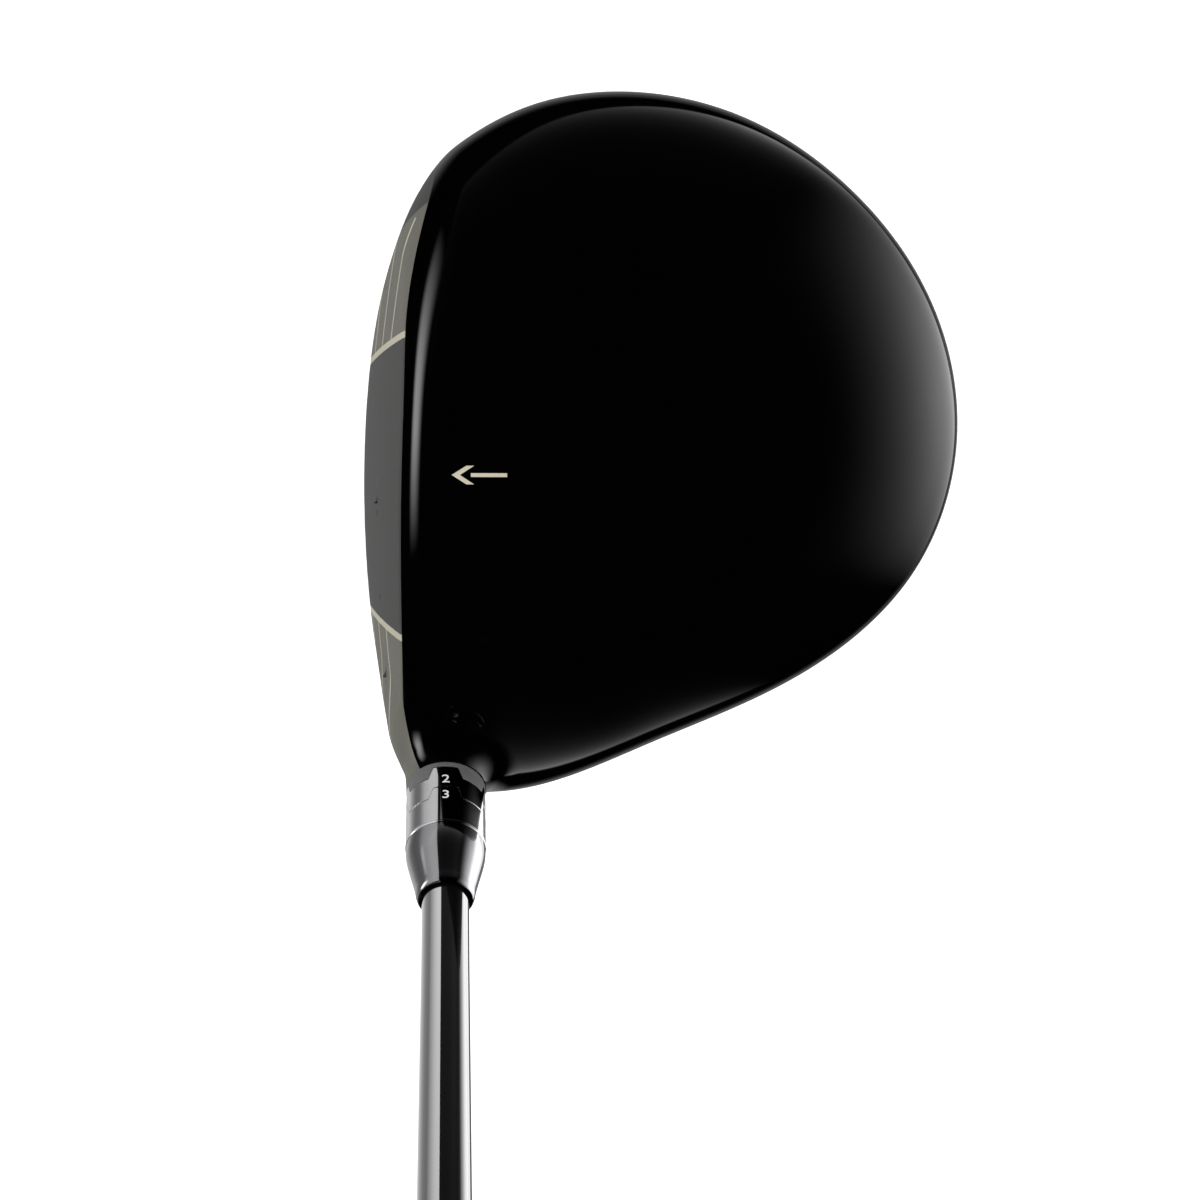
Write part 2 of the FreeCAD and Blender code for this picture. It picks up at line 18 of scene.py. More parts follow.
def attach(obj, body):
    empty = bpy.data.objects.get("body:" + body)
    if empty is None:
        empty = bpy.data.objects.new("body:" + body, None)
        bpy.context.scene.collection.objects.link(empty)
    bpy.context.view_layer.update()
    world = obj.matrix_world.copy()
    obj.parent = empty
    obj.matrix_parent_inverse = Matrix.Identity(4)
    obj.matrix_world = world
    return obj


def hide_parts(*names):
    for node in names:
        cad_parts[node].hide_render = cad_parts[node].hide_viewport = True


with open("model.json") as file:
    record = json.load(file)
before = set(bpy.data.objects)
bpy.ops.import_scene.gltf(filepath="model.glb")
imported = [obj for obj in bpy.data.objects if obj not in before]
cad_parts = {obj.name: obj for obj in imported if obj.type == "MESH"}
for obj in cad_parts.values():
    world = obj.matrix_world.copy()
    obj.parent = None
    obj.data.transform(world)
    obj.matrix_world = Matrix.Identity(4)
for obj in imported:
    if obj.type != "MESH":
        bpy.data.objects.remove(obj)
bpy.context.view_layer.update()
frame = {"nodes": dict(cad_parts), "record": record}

MM = 0.001
JOINTS = {joint["name"]: joint for joint in frame["record"]["behaviour"]["joints"]}

# ---- sizes of the club, in millimetres

SHAFT_WAY = np.array(JOINTS["shaft_lift"]["axis"])
HOSEL_TOP = 60.0
SHAFT_FOOT = np.array(JOINTS["sleeve_turn"]["pos_m"]) / MM - HOSEL_TOP * SHAFT_WAY
BACKWARD = np.array([0, 1.0, 0])  # from the face to the back of the head
SHAFT_SIDE = np.cross(SHAFT_WAY, [0, 1, 0])  # angles round the shaft run from here to BACKWARD
HOSEL_BAND = 56.3  # where the paint stops below the bare rim of the hosel
TOOTH_DEPTH, TOOTH_TIP, TOOTH_ROOT = 2.6, 4.6, 6.4
RING_TOP, SLEEVE_TOP, TRIM_TOP, FERRULE_TOP = 65.4, 71.4, 71.8, 84.5
COLLAR, SLEEVE_BORE, SLEEVE_BARREL = 7.45, 4.35, 5.37
SLEEVE_FOOT, SHAFT_POCKET = 30.0, 42.5
SHAFT_END, CLUB_LENGTH = 1150.0, 1155.7
GRIP_MOUTH, GRIP_BUTT = 888.0, 13.3
PORT_BORE, PORT_MOUTH, PORT_REACH, SEAT_FLOOR = 5.6, 17.0, 30.0, 25.0
HOSEL_OUTER, HOSEL_BORE, SCREW_BORE = 7.5, 5.42, 2.55
TRIM_BORE, TRIM_OUTER, TOOTH_GAP = 4.4, 7.5, 0.04
SHAFT_TIP, SHAFT_BUTT, SHAFT_BUTT_BORE, SHAFT_TIP_BORE = 4.3, 7.6, 6.5, 2.4

RIM_OUTLINE = (
    (-9, 75.2), (-36, 68.7), (-57, 52), (-69.5, 32),
    (-74, 8), (-71.5, -8), (-63.5, -23), (-52, -36),
    (-30, -58.5), (2, -67), (36, -59), (57, -37),
    (61.5, -14), (52.2, 15), (39.2, 44), (18.2, 67.3),
)
RIM_HEIGHT, RIM_RISE, RIM_FALL = 28.5, 0.03, 0.03
CROWN_RISE, CROWN_MIDDLE, CROWN_PLAN, CROWN_FULLNESS = 29.6, (-4.0, -12.0), 2.25, 1.85
SOLE_DROP, SOLE_MIDDLE, SOLE_PLAN, SOLE_FULLNESS = 29.1, (-3.0, 4.0), 2.0, 1.5
FRONT_FULLNESS = 0.5  # how much fuller the sole is towards the face than towards the back
FACE_RADIUS, FACE_MIDDLE, LOFT = 305.0, np.array([7.0, -38.5, 29.0]), math.radians(10.5)
FACE_WAY = np.array([0, -math.cos(LOFT), math.sin(LOFT)])
BALL = FACE_MIDDLE - FACE_WAY * FACE_RADIUS
FACE_ROUND_OVER, FACE_ROUND_UNDER = 7.0, 2.0  # radii of the face's roll into the crown and into the sole
BLEND_BEHIND, BLEND_FRONT = 6.0, 7.0  # radii of the hosel's blend into the head
CROWN_SEAM = 4.5  # height of the crown's edge above the rim
CROWN_SETBACK, CROWN_CLEARANCE = 12.0, 17.0  # from the crown's edge to the face, and to the shaft axis
SEAM_HALF, SEAM_DEPTH = 0.45, 0.16  # the shallow groove along the crown's edge
SKIN_LOW, SKIN_HIGH = (-79.3, -47.7, -3.1), (72.1, 80.3, 66.9)  # a box round the head
SKIN_STEP = 0.9  # size of the skin's facets
NORMAL_STEP = 0.12  # reach of the slopes that shade the skin
WALL = 1.1

WEIGHT_MIDDLE = np.array(JOINTS["weight_screw_turn"]["pos_m"]) / MM
WEIGHT_WAY = np.array(JOINTS["weight_back_out"]["axis"])
WEIGHT_LENGTH, WEIGHT_WIDTH, WEIGHT_PLAY, WEIGHT_WALL = 25.0, 11.6, 0.1, 4.0
WEIGHT_SCREW_HOLE = 4.3
SOLE_TOP = 24.0  # everything on the sole is lower than this


# ---------------------------------------------------------------- shapes as fields


def closed_spline(corners, count):
    """Points along the smooth closed curve through the corners."""
    knots = np.array(corners, float)
    total = len(knots)
    chord = np.linalg.norm(np.roll(knots, -1, 0) - knots, axis=1)
    before = np.roll(chord, 1)
    system = np.zeros((total, total))
    rhs = np.zeros((total, 2))
    for i in range(total):
        j, k = (i - 1) % total, (i + 1) % total
        system[i, j], system[i, i], system[i, k] = chord[i], 2 * (chord[i] + before[i]), before[i]
        rhs[i] = 3 * (
            chord[i] * (knots[i] - knots[j]) / before[i] + before[i] * (knots[k] - knots[i]) / chord[i]
        )
    slope = np.linalg.solve(system, rhs)
    steps = np.linspace(0, 1, count // total, endpoint=False)[:, None]
    spans = []
    for i in range(total):
        k = (i + 1) % total
        rise = knots[k] - knots[i]
        bend_in = slope[i] * chord[i]
        bend_out = slope[k] * chord[i]
        a = bend_in + bend_out - 2 * rise
        b = 3 * rise - 2 * bend_in - bend_out
        spans.append(knots[i] + steps * (bend_in + steps * (b + steps * a)))
    return np.vstack(spans)


RIM = closed_spline(RIM_OUTLINE, 8192)


def reach_from(middle):
    """The rim's distance from a middle point, against the direction."""
    away = RIM - np.array(middle)
    angle = np.arctan2(away[:, 1], away[:, 0])
    order = np.argsort(angle)
    return angle[order], np.hypot(away[:, 0], away[:, 1])[order]


CROWN_REACH, SOLE_REACH = reach_from(CROWN_MIDDLE), reach_from(SOLE_MIDDLE)


def share_of_rim(p, middle, reach):
    """0 at the middle of the head seen from above, and 1 on its rim."""
    x, y = p[:, 0] - middle[0], p[:, 1] - middle[1]
    return np.hypot(x, y) / np.interp(np.arctan2(y, x), reach[0], reach[1], period=2 * math.pi)


def lift_above_rim(p):
    return p[:, 2] - (RIM_HEIGHT + RIM_RISE * p[:, 0] - RIM_FALL * p[:, 1])


def fullness(p):
    """1 on the lofted head form, less inside."""
    lift = lift_above_rim(p)
    over = share_of_rim(p, CROWN_MIDDLE, CROWN_REACH) ** CROWN_PLAN
    over = over + (np.maximum(lift, 0) / CROWN_RISE) ** CROWN_FULLNESS
    x, y = p[:, 0] - SOLE_MIDDLE[0], p[:, 1] - SOLE_MIDDLE[1]
    ahead = np.maximum(-y, 0) / np.maximum(np.hypot(x, y), 1e-6)
    under = share_of_rim(p, SOLE_MIDDLE, SOLE_REACH) ** (SOLE_PLAN * (1 + FRONT_FULLNESS * ahead ** 2))
    under = under + (np.maximum(-lift, 0) / SOLE_DROP) ** SOLE_FULLNESS
    return np.where(lift > 0, over ** (1 / CROWN_PLAN), under ** (1 / SOLE_PLAN))


def slope_of(field, p, reach=0.05):
    """The field's gradient, by small steps each way."""
    slope = np.empty_like(p)
    for axis in range(3):
        step = np.zeros(3)
        step[axis] = reach
        slope[:, axis] = (field(p + step) - field(p - step)) / (2 * reach)
    return slope


def from_form(p):
    """Distance outside the lofted head form."""
    return (fullness(p) - 1) / np.maximum(np.linalg.norm(slope_of(fullness, p), axis=1), 1e-3)


def from_face(p):
    """Distance in front of the face."""
    return np.linalg.norm(p - BALL, axis=1) - FACE_RADIUS


def shaft_place(p):
    """Distance along the shaft axis, and out from it."""
    away = p - SHAFT_FOOT
    along = away @ SHAFT_WAY
    return along, np.linalg.norm(away - along[:, None] * SHAFT_WAY, axis=1)


def rounded_inner(a, b, radius):
    """What is inside both fields, with their edge rounded."""
    corner = np.hypot(np.maximum(a + radius, 0), np.maximum(b + radius, 0))
    return np.minimum(-radius, np.maximum(a, b)) + corner


def blended_outer(a, b, radius):
    """What is inside either field, with a hollow blend between them."""
    corner = np.hypot(np.maximum(radius - a, 0), np.maximum(radius - b, 0))
    return np.maximum(radius, np.minimum(a, b)) - corner


NECK_HEIGHTS = np.array([14.0, 22.0, 30.0, 38.0, 46.0, 52.0, 57.0, 70.0])
NECK_RADII = np.array([7.3, 7.6, 8.2, 8.4, 8.0, 7.7, 7.5, 7.5])


def neck_radius(along):
    """The hosel's radius, eased between its stations."""
    at = np.clip(along, NECK_HEIGHTS[0], NECK_HEIGHTS[-1])
    i = np.clip(np.searchsorted(NECK_HEIGHTS, at) - 1, 0, len(NECK_HEIGHTS) - 2)
    t = (at - NECK_HEIGHTS[i]) / (NECK_HEIGHTS[i + 1] - NECK_HEIGHTS[i])
    t = t * t * (3 - 2 * t)
    return NECK_RADII[i] * (1 - t) + NECK_RADII[i + 1] * t


def from_neck(p):
    along, out = shaft_place(p)
    return rounded_inner(out - neck_radius(along), PORT_MOUTH - along, 0.8)


def eased(value, start, end):
    """0 before start, 1 after end, and smooth between."""
    t = np.clip((value - start) / (end - start), 0, 1)
    return t * t * (3 - 2 * t)


def from_head(p):
    """Distance outside the whole head."""
    roll = FACE_ROUND_UNDER + (FACE_ROUND_OVER - FACE_ROUND_UNDER) * eased(lift_above_rim(p), -22, 2)
    core = rounded_inner(from_form(p), from_face(p), roll)
    core = rounded_inner(core, -p[:, 2], 1.0)
    blend = BLEND_FRONT + (BLEND_BEHIND - BLEND_FRONT) * eased(p[:, 1], -31, -22)
    return blended_outer(core, from_neck(p), blend)


# ---------------------------------------------------------------- skins cut from fields


def skin_of(field, low, high, step):
    """The surface where a field is zero, as points and triangles that face outwards."""
    axes = [np.arange(a, b + step, step) for a, b in zip(low, high)]
    sides = [len(axis) for axis in axes]
    value = np.empty(sides)
    plane = np.stack(np.meshgrid(axes[1], axes[2], indexing="ij"), -1).reshape(-1, 2)
    for i, x in enumerate(axes[0]):
        value[i] = field(np.column_stack([np.full(len(plane), x), plane])).reshape(sides[1:])
    inside = value < 0
    corners = [(i, j, k) for i in (0, 1) for j in (0, 1) for k in (0, 1)]
    count = sum(
        inside[i:sides[0] - 1 + i, j:sides[1] - 1 + j, k:sides[2] - 1 + k].astype(int)
        for i, j, k in corners
    )
    cells = np.argwhere((count > 0) & (count < 8))
    number = np.full([side - 1 for side in sides], -1)
    number[tuple(cells.T)] = np.arange(len(cells))
    total, hits = np.zeros((len(cells), 3)), np.zeros(len(cells))
    for a in corners:
        for axis in range(3):
            if a[axis]:
                continue
            b = list(a)
            b[axis] = 1
            first = value[tuple((cells + a).T)]
            last = value[tuple((cells + b).T)]
            crossed = (first < 0) != (last < 0)
            share = np.where(crossed, first / np.where(crossed, first - last, 1), 0)
            place = np.array(a) + share[:, None] * np.eye(3)[axis]
            total += np.where(crossed[:, None], place, 0)
            hits += crossed
    points = np.array([axis[0] for axis in axes]) + step * (cells + total / hits[:, None])
    faces = []
    for axis in range(3):
        u, v = (axis + 1) % 3, (axis + 2) % 3
        start = [slice(1, -1)] * 3
        start[axis] = slice(0, -1)
        end = list(start)
        end[axis] = slice(1, None)
        edge = inside[tuple(start)] != inside[tuple(end)]
        at = np.argwhere(edge) + [0 if i == axis else 1 for i in range(3)]
        outwards = inside[tuple(at.T)]
        ring = []
        for du, dv in ((-1, -1), (0, -1), (0, 0), (-1, 0)):
            cell = at.copy()
            cell[:, u] += du
            cell[:, v] += dv
            ring.append(number[tuple(cell.T)])
        quad = np.stack(ring, 1)
        quad[~outwards] = quad[~outwards][:, ::-1]
        faces += [quad[:, [0, 1, 2]], quad[:, [0, 2, 3]]]
    return points, np.vstack(faces)


def onto(field, points, rounds=3):
    """Moves points onto the surface where the field is zero."""
    for _ in range(rounds):
        slope = slope_of(field, points)
        points = points - slope * (field(points) / np.maximum((slope ** 2).sum(1), 1e-6))[:, None]
    return points


def evened(points, faces, field, rounds=3):
    """Evens out a skin's facets without leaving its surface."""
    ends = np.vstack([faces[:, [0, 1]], faces[:, [1, 2]], faces[:, [2, 0]]])
    for _ in range(rounds):
        total, hits = np.zeros_like(points), np.zeros(len(points))
        np.add.at(total, ends[:, 0], points[ends[:, 1]])
        np.add.at(hits, ends[:, 0], 1)
        points = onto(field, points + 0.6 * (total / np.maximum(hits, 1)[:, None] - points), 1)
    return onto(field, points, 2)


def scored(points, faces, line, level, surface):
    """Cuts a skin's triangles where a line field passes a level, so that facets end on the line."""
    over = line(points) > level
    mixed = over[faces].any(1) & ~over[faces].all(1)
    cut = faces[mixed]
    lone = np.array([np.flatnonzero(row == (row.sum() == 1))[0] for row in over[cut]], int)
    cut = np.stack([cut[np.arange(len(cut)), (lone + i) % 3] for i in range(3)], 1)
    pairs = np.sort(np.vstack([cut[:, [0, 1]], cut[:, [0, 2]]]), axis=1)
    edges, which = np.unique(pairs, axis=0, return_inverse=True)
    which = which.ravel()
    a, b = points[edges[:, 0]], points[edges[:, 1]]
    fa, fb = line(a) - level, line(b) - level
    fresh = a + (b - a) * (fa / (fa - fb))[:, None]
    for _ in range(3):
        slope = slope_of(line, fresh)
        fresh = fresh - slope * ((line(fresh) - level) / np.maximum((slope ** 2).sum(1), 1e-6))[:, None]
        fresh = onto(surface, fresh, 1)
    first = len(points) + which[:len(cut)]
    second = len(points) + which[len(cut):]
    lone, left, right = cut.T
    pieces = ((lone, first, second), (first, left, right), (first, right, second))
    return np.vstack([points, fresh]), np.vstack([faces[~mixed]] + [np.stack(piece, 1) for piece in pieces])


def picked(points, faces, keep):
    """The points that the kept triangles use, the triangles renumbered, and the points' old numbers."""
    faces = faces[keep]
    used, packed = np.unique(faces, return_inverse=True)
    return points[used], packed.reshape(faces.shape), used


# ---------------------------------------------------------------- pieces


def new_piece(name, points, faces, material, body, normals=None, crease=35.0):
    """A mesh object from millimetre points.

    With no normals given, edges sharper than the crease stay sharp.
    """
    mesh = bpy.data.meshes.new(name)
    mesh.from_pydata((np.asarray(points) * MM).tolist(), [], [list(map(int, face)) for face in faces])
    mesh.polygons.foreach_set("use_smooth", [True] * len(mesh.polygons))
    if normals is None:
        mesh.set_sharp_from_angle(angle=math.radians(crease))
    else:
        mesh.normals_split_custom_set(np.asarray(normals).tolist())
    mesh.materials.append(material)
    mesh.validate(clean_customdata=False)
    piece = bpy.data.objects.new(name, mesh)
    bpy.context.scene.collection.objects.link(piece)
    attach(piece, body)
    return piece


def walled(name, points, faces, slope, wall, material, body, sink=None):
    """A closed piece from a skin: the skin itself, a copy one wall under it, and an edge between."""
    slope = slope / np.linalg.norm(slope, axis=1)[:, None]
    top = points if sink is None else points - slope * sink[:, None]
    under = points - slope * wall
    sides = np.vstack([faces[:, [0, 1]], faces[:, [1, 2]], faces[:, [2, 0]]])
    known = set(map(tuple, sides))
    start, end = np.array([side for side in sides.tolist() if (side[1], side[0]) not in known]).T
    count = len(points)
    edge = np.stack([end, start, start + count, end + count], 1)
    edge_points = np.vstack([top, under])
    across = edge_points[edge[:, 1]] - edge_points[edge[:, 0]]
    down = edge_points[edge[:, 2]] - edge_points[edge[:, 1]]
    edge_way = np.cross(across, down)
    edge_way /= np.maximum(np.linalg.norm(edge_way, axis=1), 1e-9)[:, None]
    every = [list(f) for f in faces] + [list(f) for f in faces[:, ::-1] + count] + [list(f) for f in edge]
    normals = np.vstack([
        slope[faces].reshape(-1, 3), -slope[faces[:, ::-1]].reshape(-1, 3), np.repeat(edge_way, 4, 0),
    ])
    return new_piece(name, edge_points, every, material, body, normals)


def round_shaft(angle):
    """The ways out from the shaft axis at some angles round it."""
    return np.cos(angle)[:, None] * SHAFT_SIDE + np.sin(angle)[:, None] * BACKWARD


def looped(rows, count):
    """The faces between rings of count points. Every ring joins the next, and the last the first."""
    faces = []
    for row in range(rows):
        low, high = row * count, (row + 1) % rows * count
        faces += [[low + i, low + (i + 1) % count, high + (i + 1) % count, high + i] for i in range(count)]
    return faces


def lathe(name, profile, material, body, segments=128):
    """A ring turned about the shaft axis from a closed loop of (radius, distance along the shaft)."""
    out = round_shaft(np.linspace(0, 2 * math.pi, segments, endpoint=False))
    points = np.vstack([SHAFT_FOOT + along * SHAFT_WAY + radius * out for radius, along in profile])
    return outwards(new_piece(name, points, looped(len(profile), segments), material, body, crease=30))


def outwards(piece):
    """Turns a closed piece's faces to point out of it, if its volume says that they point in."""
    mesh = piece.data
    mesh.calc_loop_triangles()
    volume = 0.0
    for triangle in mesh.loop_triangles:
        a, b, c = (mesh.vertices[i].co for i in triangle.vertices)
        volume += a.dot(b.cross(c))
    if volume < 0:
        mesh.flip_normals()
    return piece


def shaft_angle(width, radius):
    """Half the angle that a width takes at a radius."""
    return math.asin(width / 2 / radius)


def toothed_edge(angle, radius, level, depth, tip, root):
    """The height of an edge with four trapezoid teeth below its level, at each angle."""
    near = np.abs((angle + math.pi / 4) % (math.pi / 2) - math.pi / 4)
    wide, narrow = shaft_angle(root, radius), shaft_angle(tip, radius)
    return level - depth * np.clip((wide - near) / (wide - narrow), 0, 1)


def toothed_angles(radius, tip, root, spare):
    """Angles round the shaft that include every corner of the teeth, with some spare ones between."""
    corners = [
        quarter * math.pi / 2 + way * shaft_angle(width, radius)
        for quarter in range(4) for width in (tip, root) for way in (-1, 1)
    ]
    steps = list(np.linspace(0, 2 * math.pi, spare, endpoint=False))
    angles = sorted(set(round(a % (2 * math.pi), 5) for a in corners + steps))
    return np.array([a for i, a in enumerate(angles) if i == 0 or a - angles[i - 1] > 0.004])


def sleeve_wall(name, angle, low, high, outer, inner, material, body, soft=0.06):
    """A tube wall round the shaft whose two ends follow their own lines, with softened outer edges."""
    out = round_shaft(angle)
    rows = [(inner, low), (outer - soft, low), (outer, low + soft), (outer, low + soft + 0.12)]
    rows += [(outer, high - soft - 0.12), (outer, high - soft), (outer - soft, high), (inner, high)]
    points = np.vstack([SHAFT_FOOT + np.outer(h, SHAFT_WAY) + np.asarray(r) * out for r, h in rows])
    return outwards(new_piece(name, points, looped(len(rows), len(angle)), material, body, crease=50))


# ---------------------------------------------------------------- finishes


def new_node(tree, kind, inputs=None):
    """A shader or geometry node with some of its inputs, by name or number, set or linked."""
    node = tree.nodes.new(kind)
    for key, value in (inputs or {}).items():
        if isinstance(value, bpy.types.NodeSocket):
            tree.links.new(value, node.inputs[key])
        else:
            node.inputs[key].default_value = value
    return node


def finish(name, colour, rough, metal=0.0, grain=400.0, vary=0.15, bump=0.0):
    """A material whose colour and roughness drift a little with a fine grain."""
    material = bpy.data.materials.new(name)
    material.use_nodes = True
    tree = material.node_tree
    shader = tree.nodes["Principled BSDF"]
    shader.inputs["Metallic"].default_value = metal
    shader.inputs["IOR"].default_value = 1.5
    place = new_node(tree, "ShaderNodeTexCoord")
    noise = new_node(tree, "ShaderNodeTexNoise", {
        "Scale": grain, "Detail": 4.0, "Vector": place.outputs["Object"],
    })
    tint = new_node(tree, "ShaderNodeValToRGB", {"Fac": noise.outputs["Fac"]})
    dark = [max(c * (1 - vary), 0) for c in colour]
    light = [min(c * (1 + vary), 1) for c in colour]
    tint.color_ramp.elements[0].color = (*dark, 1)
    tint.color_ramp.elements[1].color = (*light, 1)
    tree.links.new(tint.outputs["Color"], shader.inputs["Base Color"])
    spread = new_node(tree, "ShaderNodeMapRange", {
        "To Min": rough * 0.8, "To Max": rough * 1.2, "Value": noise.outputs["Fac"],
    })
    tree.links.new(spread.outputs["Result"], shader.inputs["Roughness"])
    if bump:
        relief = new_node(tree, "ShaderNodeBump", {
            "Strength": bump, "Distance": 0.0001, "Height": noise.outputs["Fac"],
        })
        tree.links.new(relief.outputs["Normal"], shader.inputs["Normal"])
    return material


def black_lacquer(name):
    """Deep black gloss paint, with a slow drift in its gloss."""
    return finish(name, (0.0006, 0.0006, 0.00065), 0.05, grain=60.0, vary=0.3)


crown_lacquer = black_lacquer("crown_lacquer")
body_lacquer = black_lacquer("body_lacquer")
bare_rim = finish("satin_rim", (0.17, 0.17, 0.17), 0.45, metal=0.2, grain=900)
polished_alloy = finish("polished_alloy", (0.55, 0.55, 0.56), 0.05, metal=1.0, grain=700, vary=0.06)
ferrule_gloss = finish("ferrule_gloss", (0.33, 0.33, 0.34), 0.07, metal=1.0, grain=300, vary=0.08)
bright_trim = finish("bright_trim", (0.8, 0.8, 0.8), 0.1, metal=1.0)
shaft_gloss = finish("shaft_gloss", (0.003, 0.003, 0.0032), 0.05, grain=150, vary=0.3)
grip_rubber = finish("grip_rubber", (0.02, 0.02, 0.021), 0.62, grain=1400, vary=0.3, bump=0.5)
cap_rubber = finish("cap_rubber", (0.016, 0.016, 0.017), 0.5, grain=900, vary=0.2, bump=0.3)
weight_metal = finish("weight_metal", (0.11, 0.11, 0.112), 0.3, metal=0.9, grain=1200, bump=0.15)
screw_steel = finish("screw_steel", (0.16, 0.16, 0.165), 0.28, metal=1.0, grain=900, bump=0.1)
plain_steel = finish("plain_steel", (0.42, 0.42, 0.43), 0.35, metal=1.0, grain=800)
cured_glue = finish("cured_glue", (0.36, 0.30, 0.16), 0.4, grain=300, bump=0.3)
nylon = finish("nylon", (0.75, 0.74, 0.70), 0.5, grain=500)
seal_rubber = finish("seal_rubber", (0.02, 0.02, 0.02), 0.6, grain=800)
paper_tape = finish("paper_tape", (0.62, 0.58, 0.46), 0.8, grain=1500, bump=0.4)
champagne = finish("champagne_inlay", (0.66, 0.60, 0.46), 0.35, grain=1500, vary=0.08)
white_mark = finish("white_mark", (0.85, 0.85, 0.85), 0.5, grain=900, vary=0.05)


def node_math(tree, operation, *values):
    """A Math node with its inputs set or linked, and its result."""
    node = tree.nodes.new("ShaderNodeMath")
    node.operation = operation
    for socket, value in zip(node.inputs, values):
        if isinstance(value, (int, float)):
            socket.default_value = value
        else:
            tree.links.new(value, socket)
    return node.outputs[0]


def times(tree, *factors):
    """The product of several sockets or numbers."""
    result = factors[0]
    for factor in factors[1:]:
        result = node_math(tree, "MULTIPLY", result, factor)
    return result


def ramp(tree, value, start, end):
    """0 before start, 1 after end, and smooth between."""
    node = tree.nodes.new("ShaderNodeMapRange")
    node.interpolation_type = "SMOOTHSTEP"
    node.inputs["From Min"].default_value = min(start, end)
    node.inputs["From Max"].default_value = max(start, end)
    node.inputs["To Min"].default_value = 0.0 if start < end else 1.0
    node.inputs["To Max"].default_value = 1.0 if start < end else 0.0
    tree.links.new(value, node.inputs["Value"])
    return node.outputs["Result"]


TOE_BAR, TOE_ZONE_END = (19.2, 0.205), (31.1, 0.59)  # how far out to the toe at height 0, and per mm up
HEEL_BAR, BAR_HALF, BAR_FADE = 28.0, 0.62, 0.1
SCORE_LINES = ((35.0, -50.0, 53.0), (26.0, -45.0, 47.0), (17.0, -36.5, 41.0))  # height, toe end, heel end
SCORE_HALF, SCORE_FADE = 0.3, 0.12
PALE_ZONE, PALE_INLAY = (0.20, 0.195, 0.165), (0.66, 0.61, 0.48)


def bar_of(tree, past):
    """1 within half a bar's width of where its place is 0."""
    return ramp(tree, node_math(tree, "ABSOLUTE", past), BAR_HALF + BAR_FADE, BAR_HALF)


def face_finish():
    """Brushed dark titanium, with paler zones of score lines at the toe and the heel beyond two bars."""
    material = finish("face_metal", (0.085, 0.085, 0.083), 0.4, metal=0.35, grain=2200, vary=0.12,
                      bump=0.12)
    tree = material.node_tree
    nodes, links = tree.nodes, tree.links
    shader = nodes["Principled BSDF"]
    place = nodes.new("ShaderNodeTexCoord")
    parts = nodes.new("ShaderNodeSeparateXYZ")
    links.new(place.outputs["Object"], parts.inputs["Vector"])
    x = times(tree, parts.outputs["X"], 1000.0)
    z = times(tree, parts.outputs["Z"], 1000.0)
    toe_bar = node_math(tree, "MULTIPLY_ADD", z, -TOE_BAR[1], -TOE_BAR[0])
    past_toe_bar = node_math(tree, "SUBTRACT", toe_bar, x)
    past_heel_bar = node_math(tree, "SUBTRACT", x, HEEL_BAR)
    toe_reach = node_math(tree, "MULTIPLY_ADD", z, TOE_ZONE_END[1], TOE_ZONE_END[0])
    before_toe_end = node_math(tree, "ADD", toe_reach, x)
    toe_zone = times(tree, ramp(tree, past_toe_bar, 0, BAR_FADE), ramp(tree, before_toe_end, 0, 0.3))
    heel_zone = ramp(tree, past_heel_bar, 0, BAR_FADE)
    zones = node_math(tree, "MAXIMUM", toe_zone, heel_zone)
    inlay = node_math(tree, "MAXIMUM", bar_of(tree, past_toe_bar), bar_of(tree, past_heel_bar))
    for height, toe, heel in SCORE_LINES:
        off_line = node_math(tree, "ABSOLUTE", node_math(tree, "SUBTRACT", z, height))
        near = ramp(tree, off_line, SCORE_HALF + SCORE_FADE, SCORE_HALF)
        span = times(tree, ramp(tree, x, toe, toe + 0.3), ramp(tree, x, heel + 0.3, heel), zones)
        inlay = node_math(tree, "MAXIMUM", inlay, times(tree, near, span))
    mill = nodes.new("ShaderNodeTexWave")
    mill.bands_direction = "Z"
    mill.inputs["Scale"].default_value = 420.0
    mill.inputs["Distortion"].default_value = 0.6
    links.new(place.outputs["Object"], mill.inputs["Vector"])
    colour = shader.inputs["Base Color"].links[0].from_socket
    for mask, tone in ((zones, PALE_ZONE), (inlay, PALE_INLAY)):
        mix = nodes.new("ShaderNodeMix")
        mix.data_type = "RGBA"
        links.new(mask, mix.inputs["Factor"])
        links.new(colour, mix.inputs["A"])
        mix.inputs["B"].default_value = (*tone, 1)
        colour = mix.outputs["Result"]
    links.new(colour, shader.inputs["Base Color"])
    relief = next(node for node in nodes if node.type == "BUMP")
    deep = new_node(tree, "ShaderNodeBump", {
        "Strength": 0.25, "Distance": 0.0001, "Normal": relief.outputs["Normal"],
        "Height": node_math(tree, "SUBTRACT", mill.outputs["Fac"], times(tree, inlay, 2.0)),
    })
    links.new(deep.outputs["Normal"], shader.inputs["Normal"])
    return material


face_metal = face_finish()

for node, material in {
    "crown_bond": cured_glue, "damping_glue": cured_glue, "weight_thread_insert": plain_steel,
    "hosel_washer": plain_steel, "screw_retainer": nylon, "ring_keeper": seal_rubber,
    "shaft_tip_plug": nylon, "grip_tape": paper_tape, "hosel_screw": screw_steel,
    "rear_weight_screw": screw_steel,
}.items():
    cad = frame["nodes"][node]
    cad.data.materials.clear()
    cad.data.materials.append(material)


# ---------------------------------------------------------------- the head


FAR = 9.0  # what a line field says where its line does not reach
WRAP_START, WRAP_REACH, WRAP_DEPTH = -28.0, 30.0, 3.4  # the bare face wraps round the toe


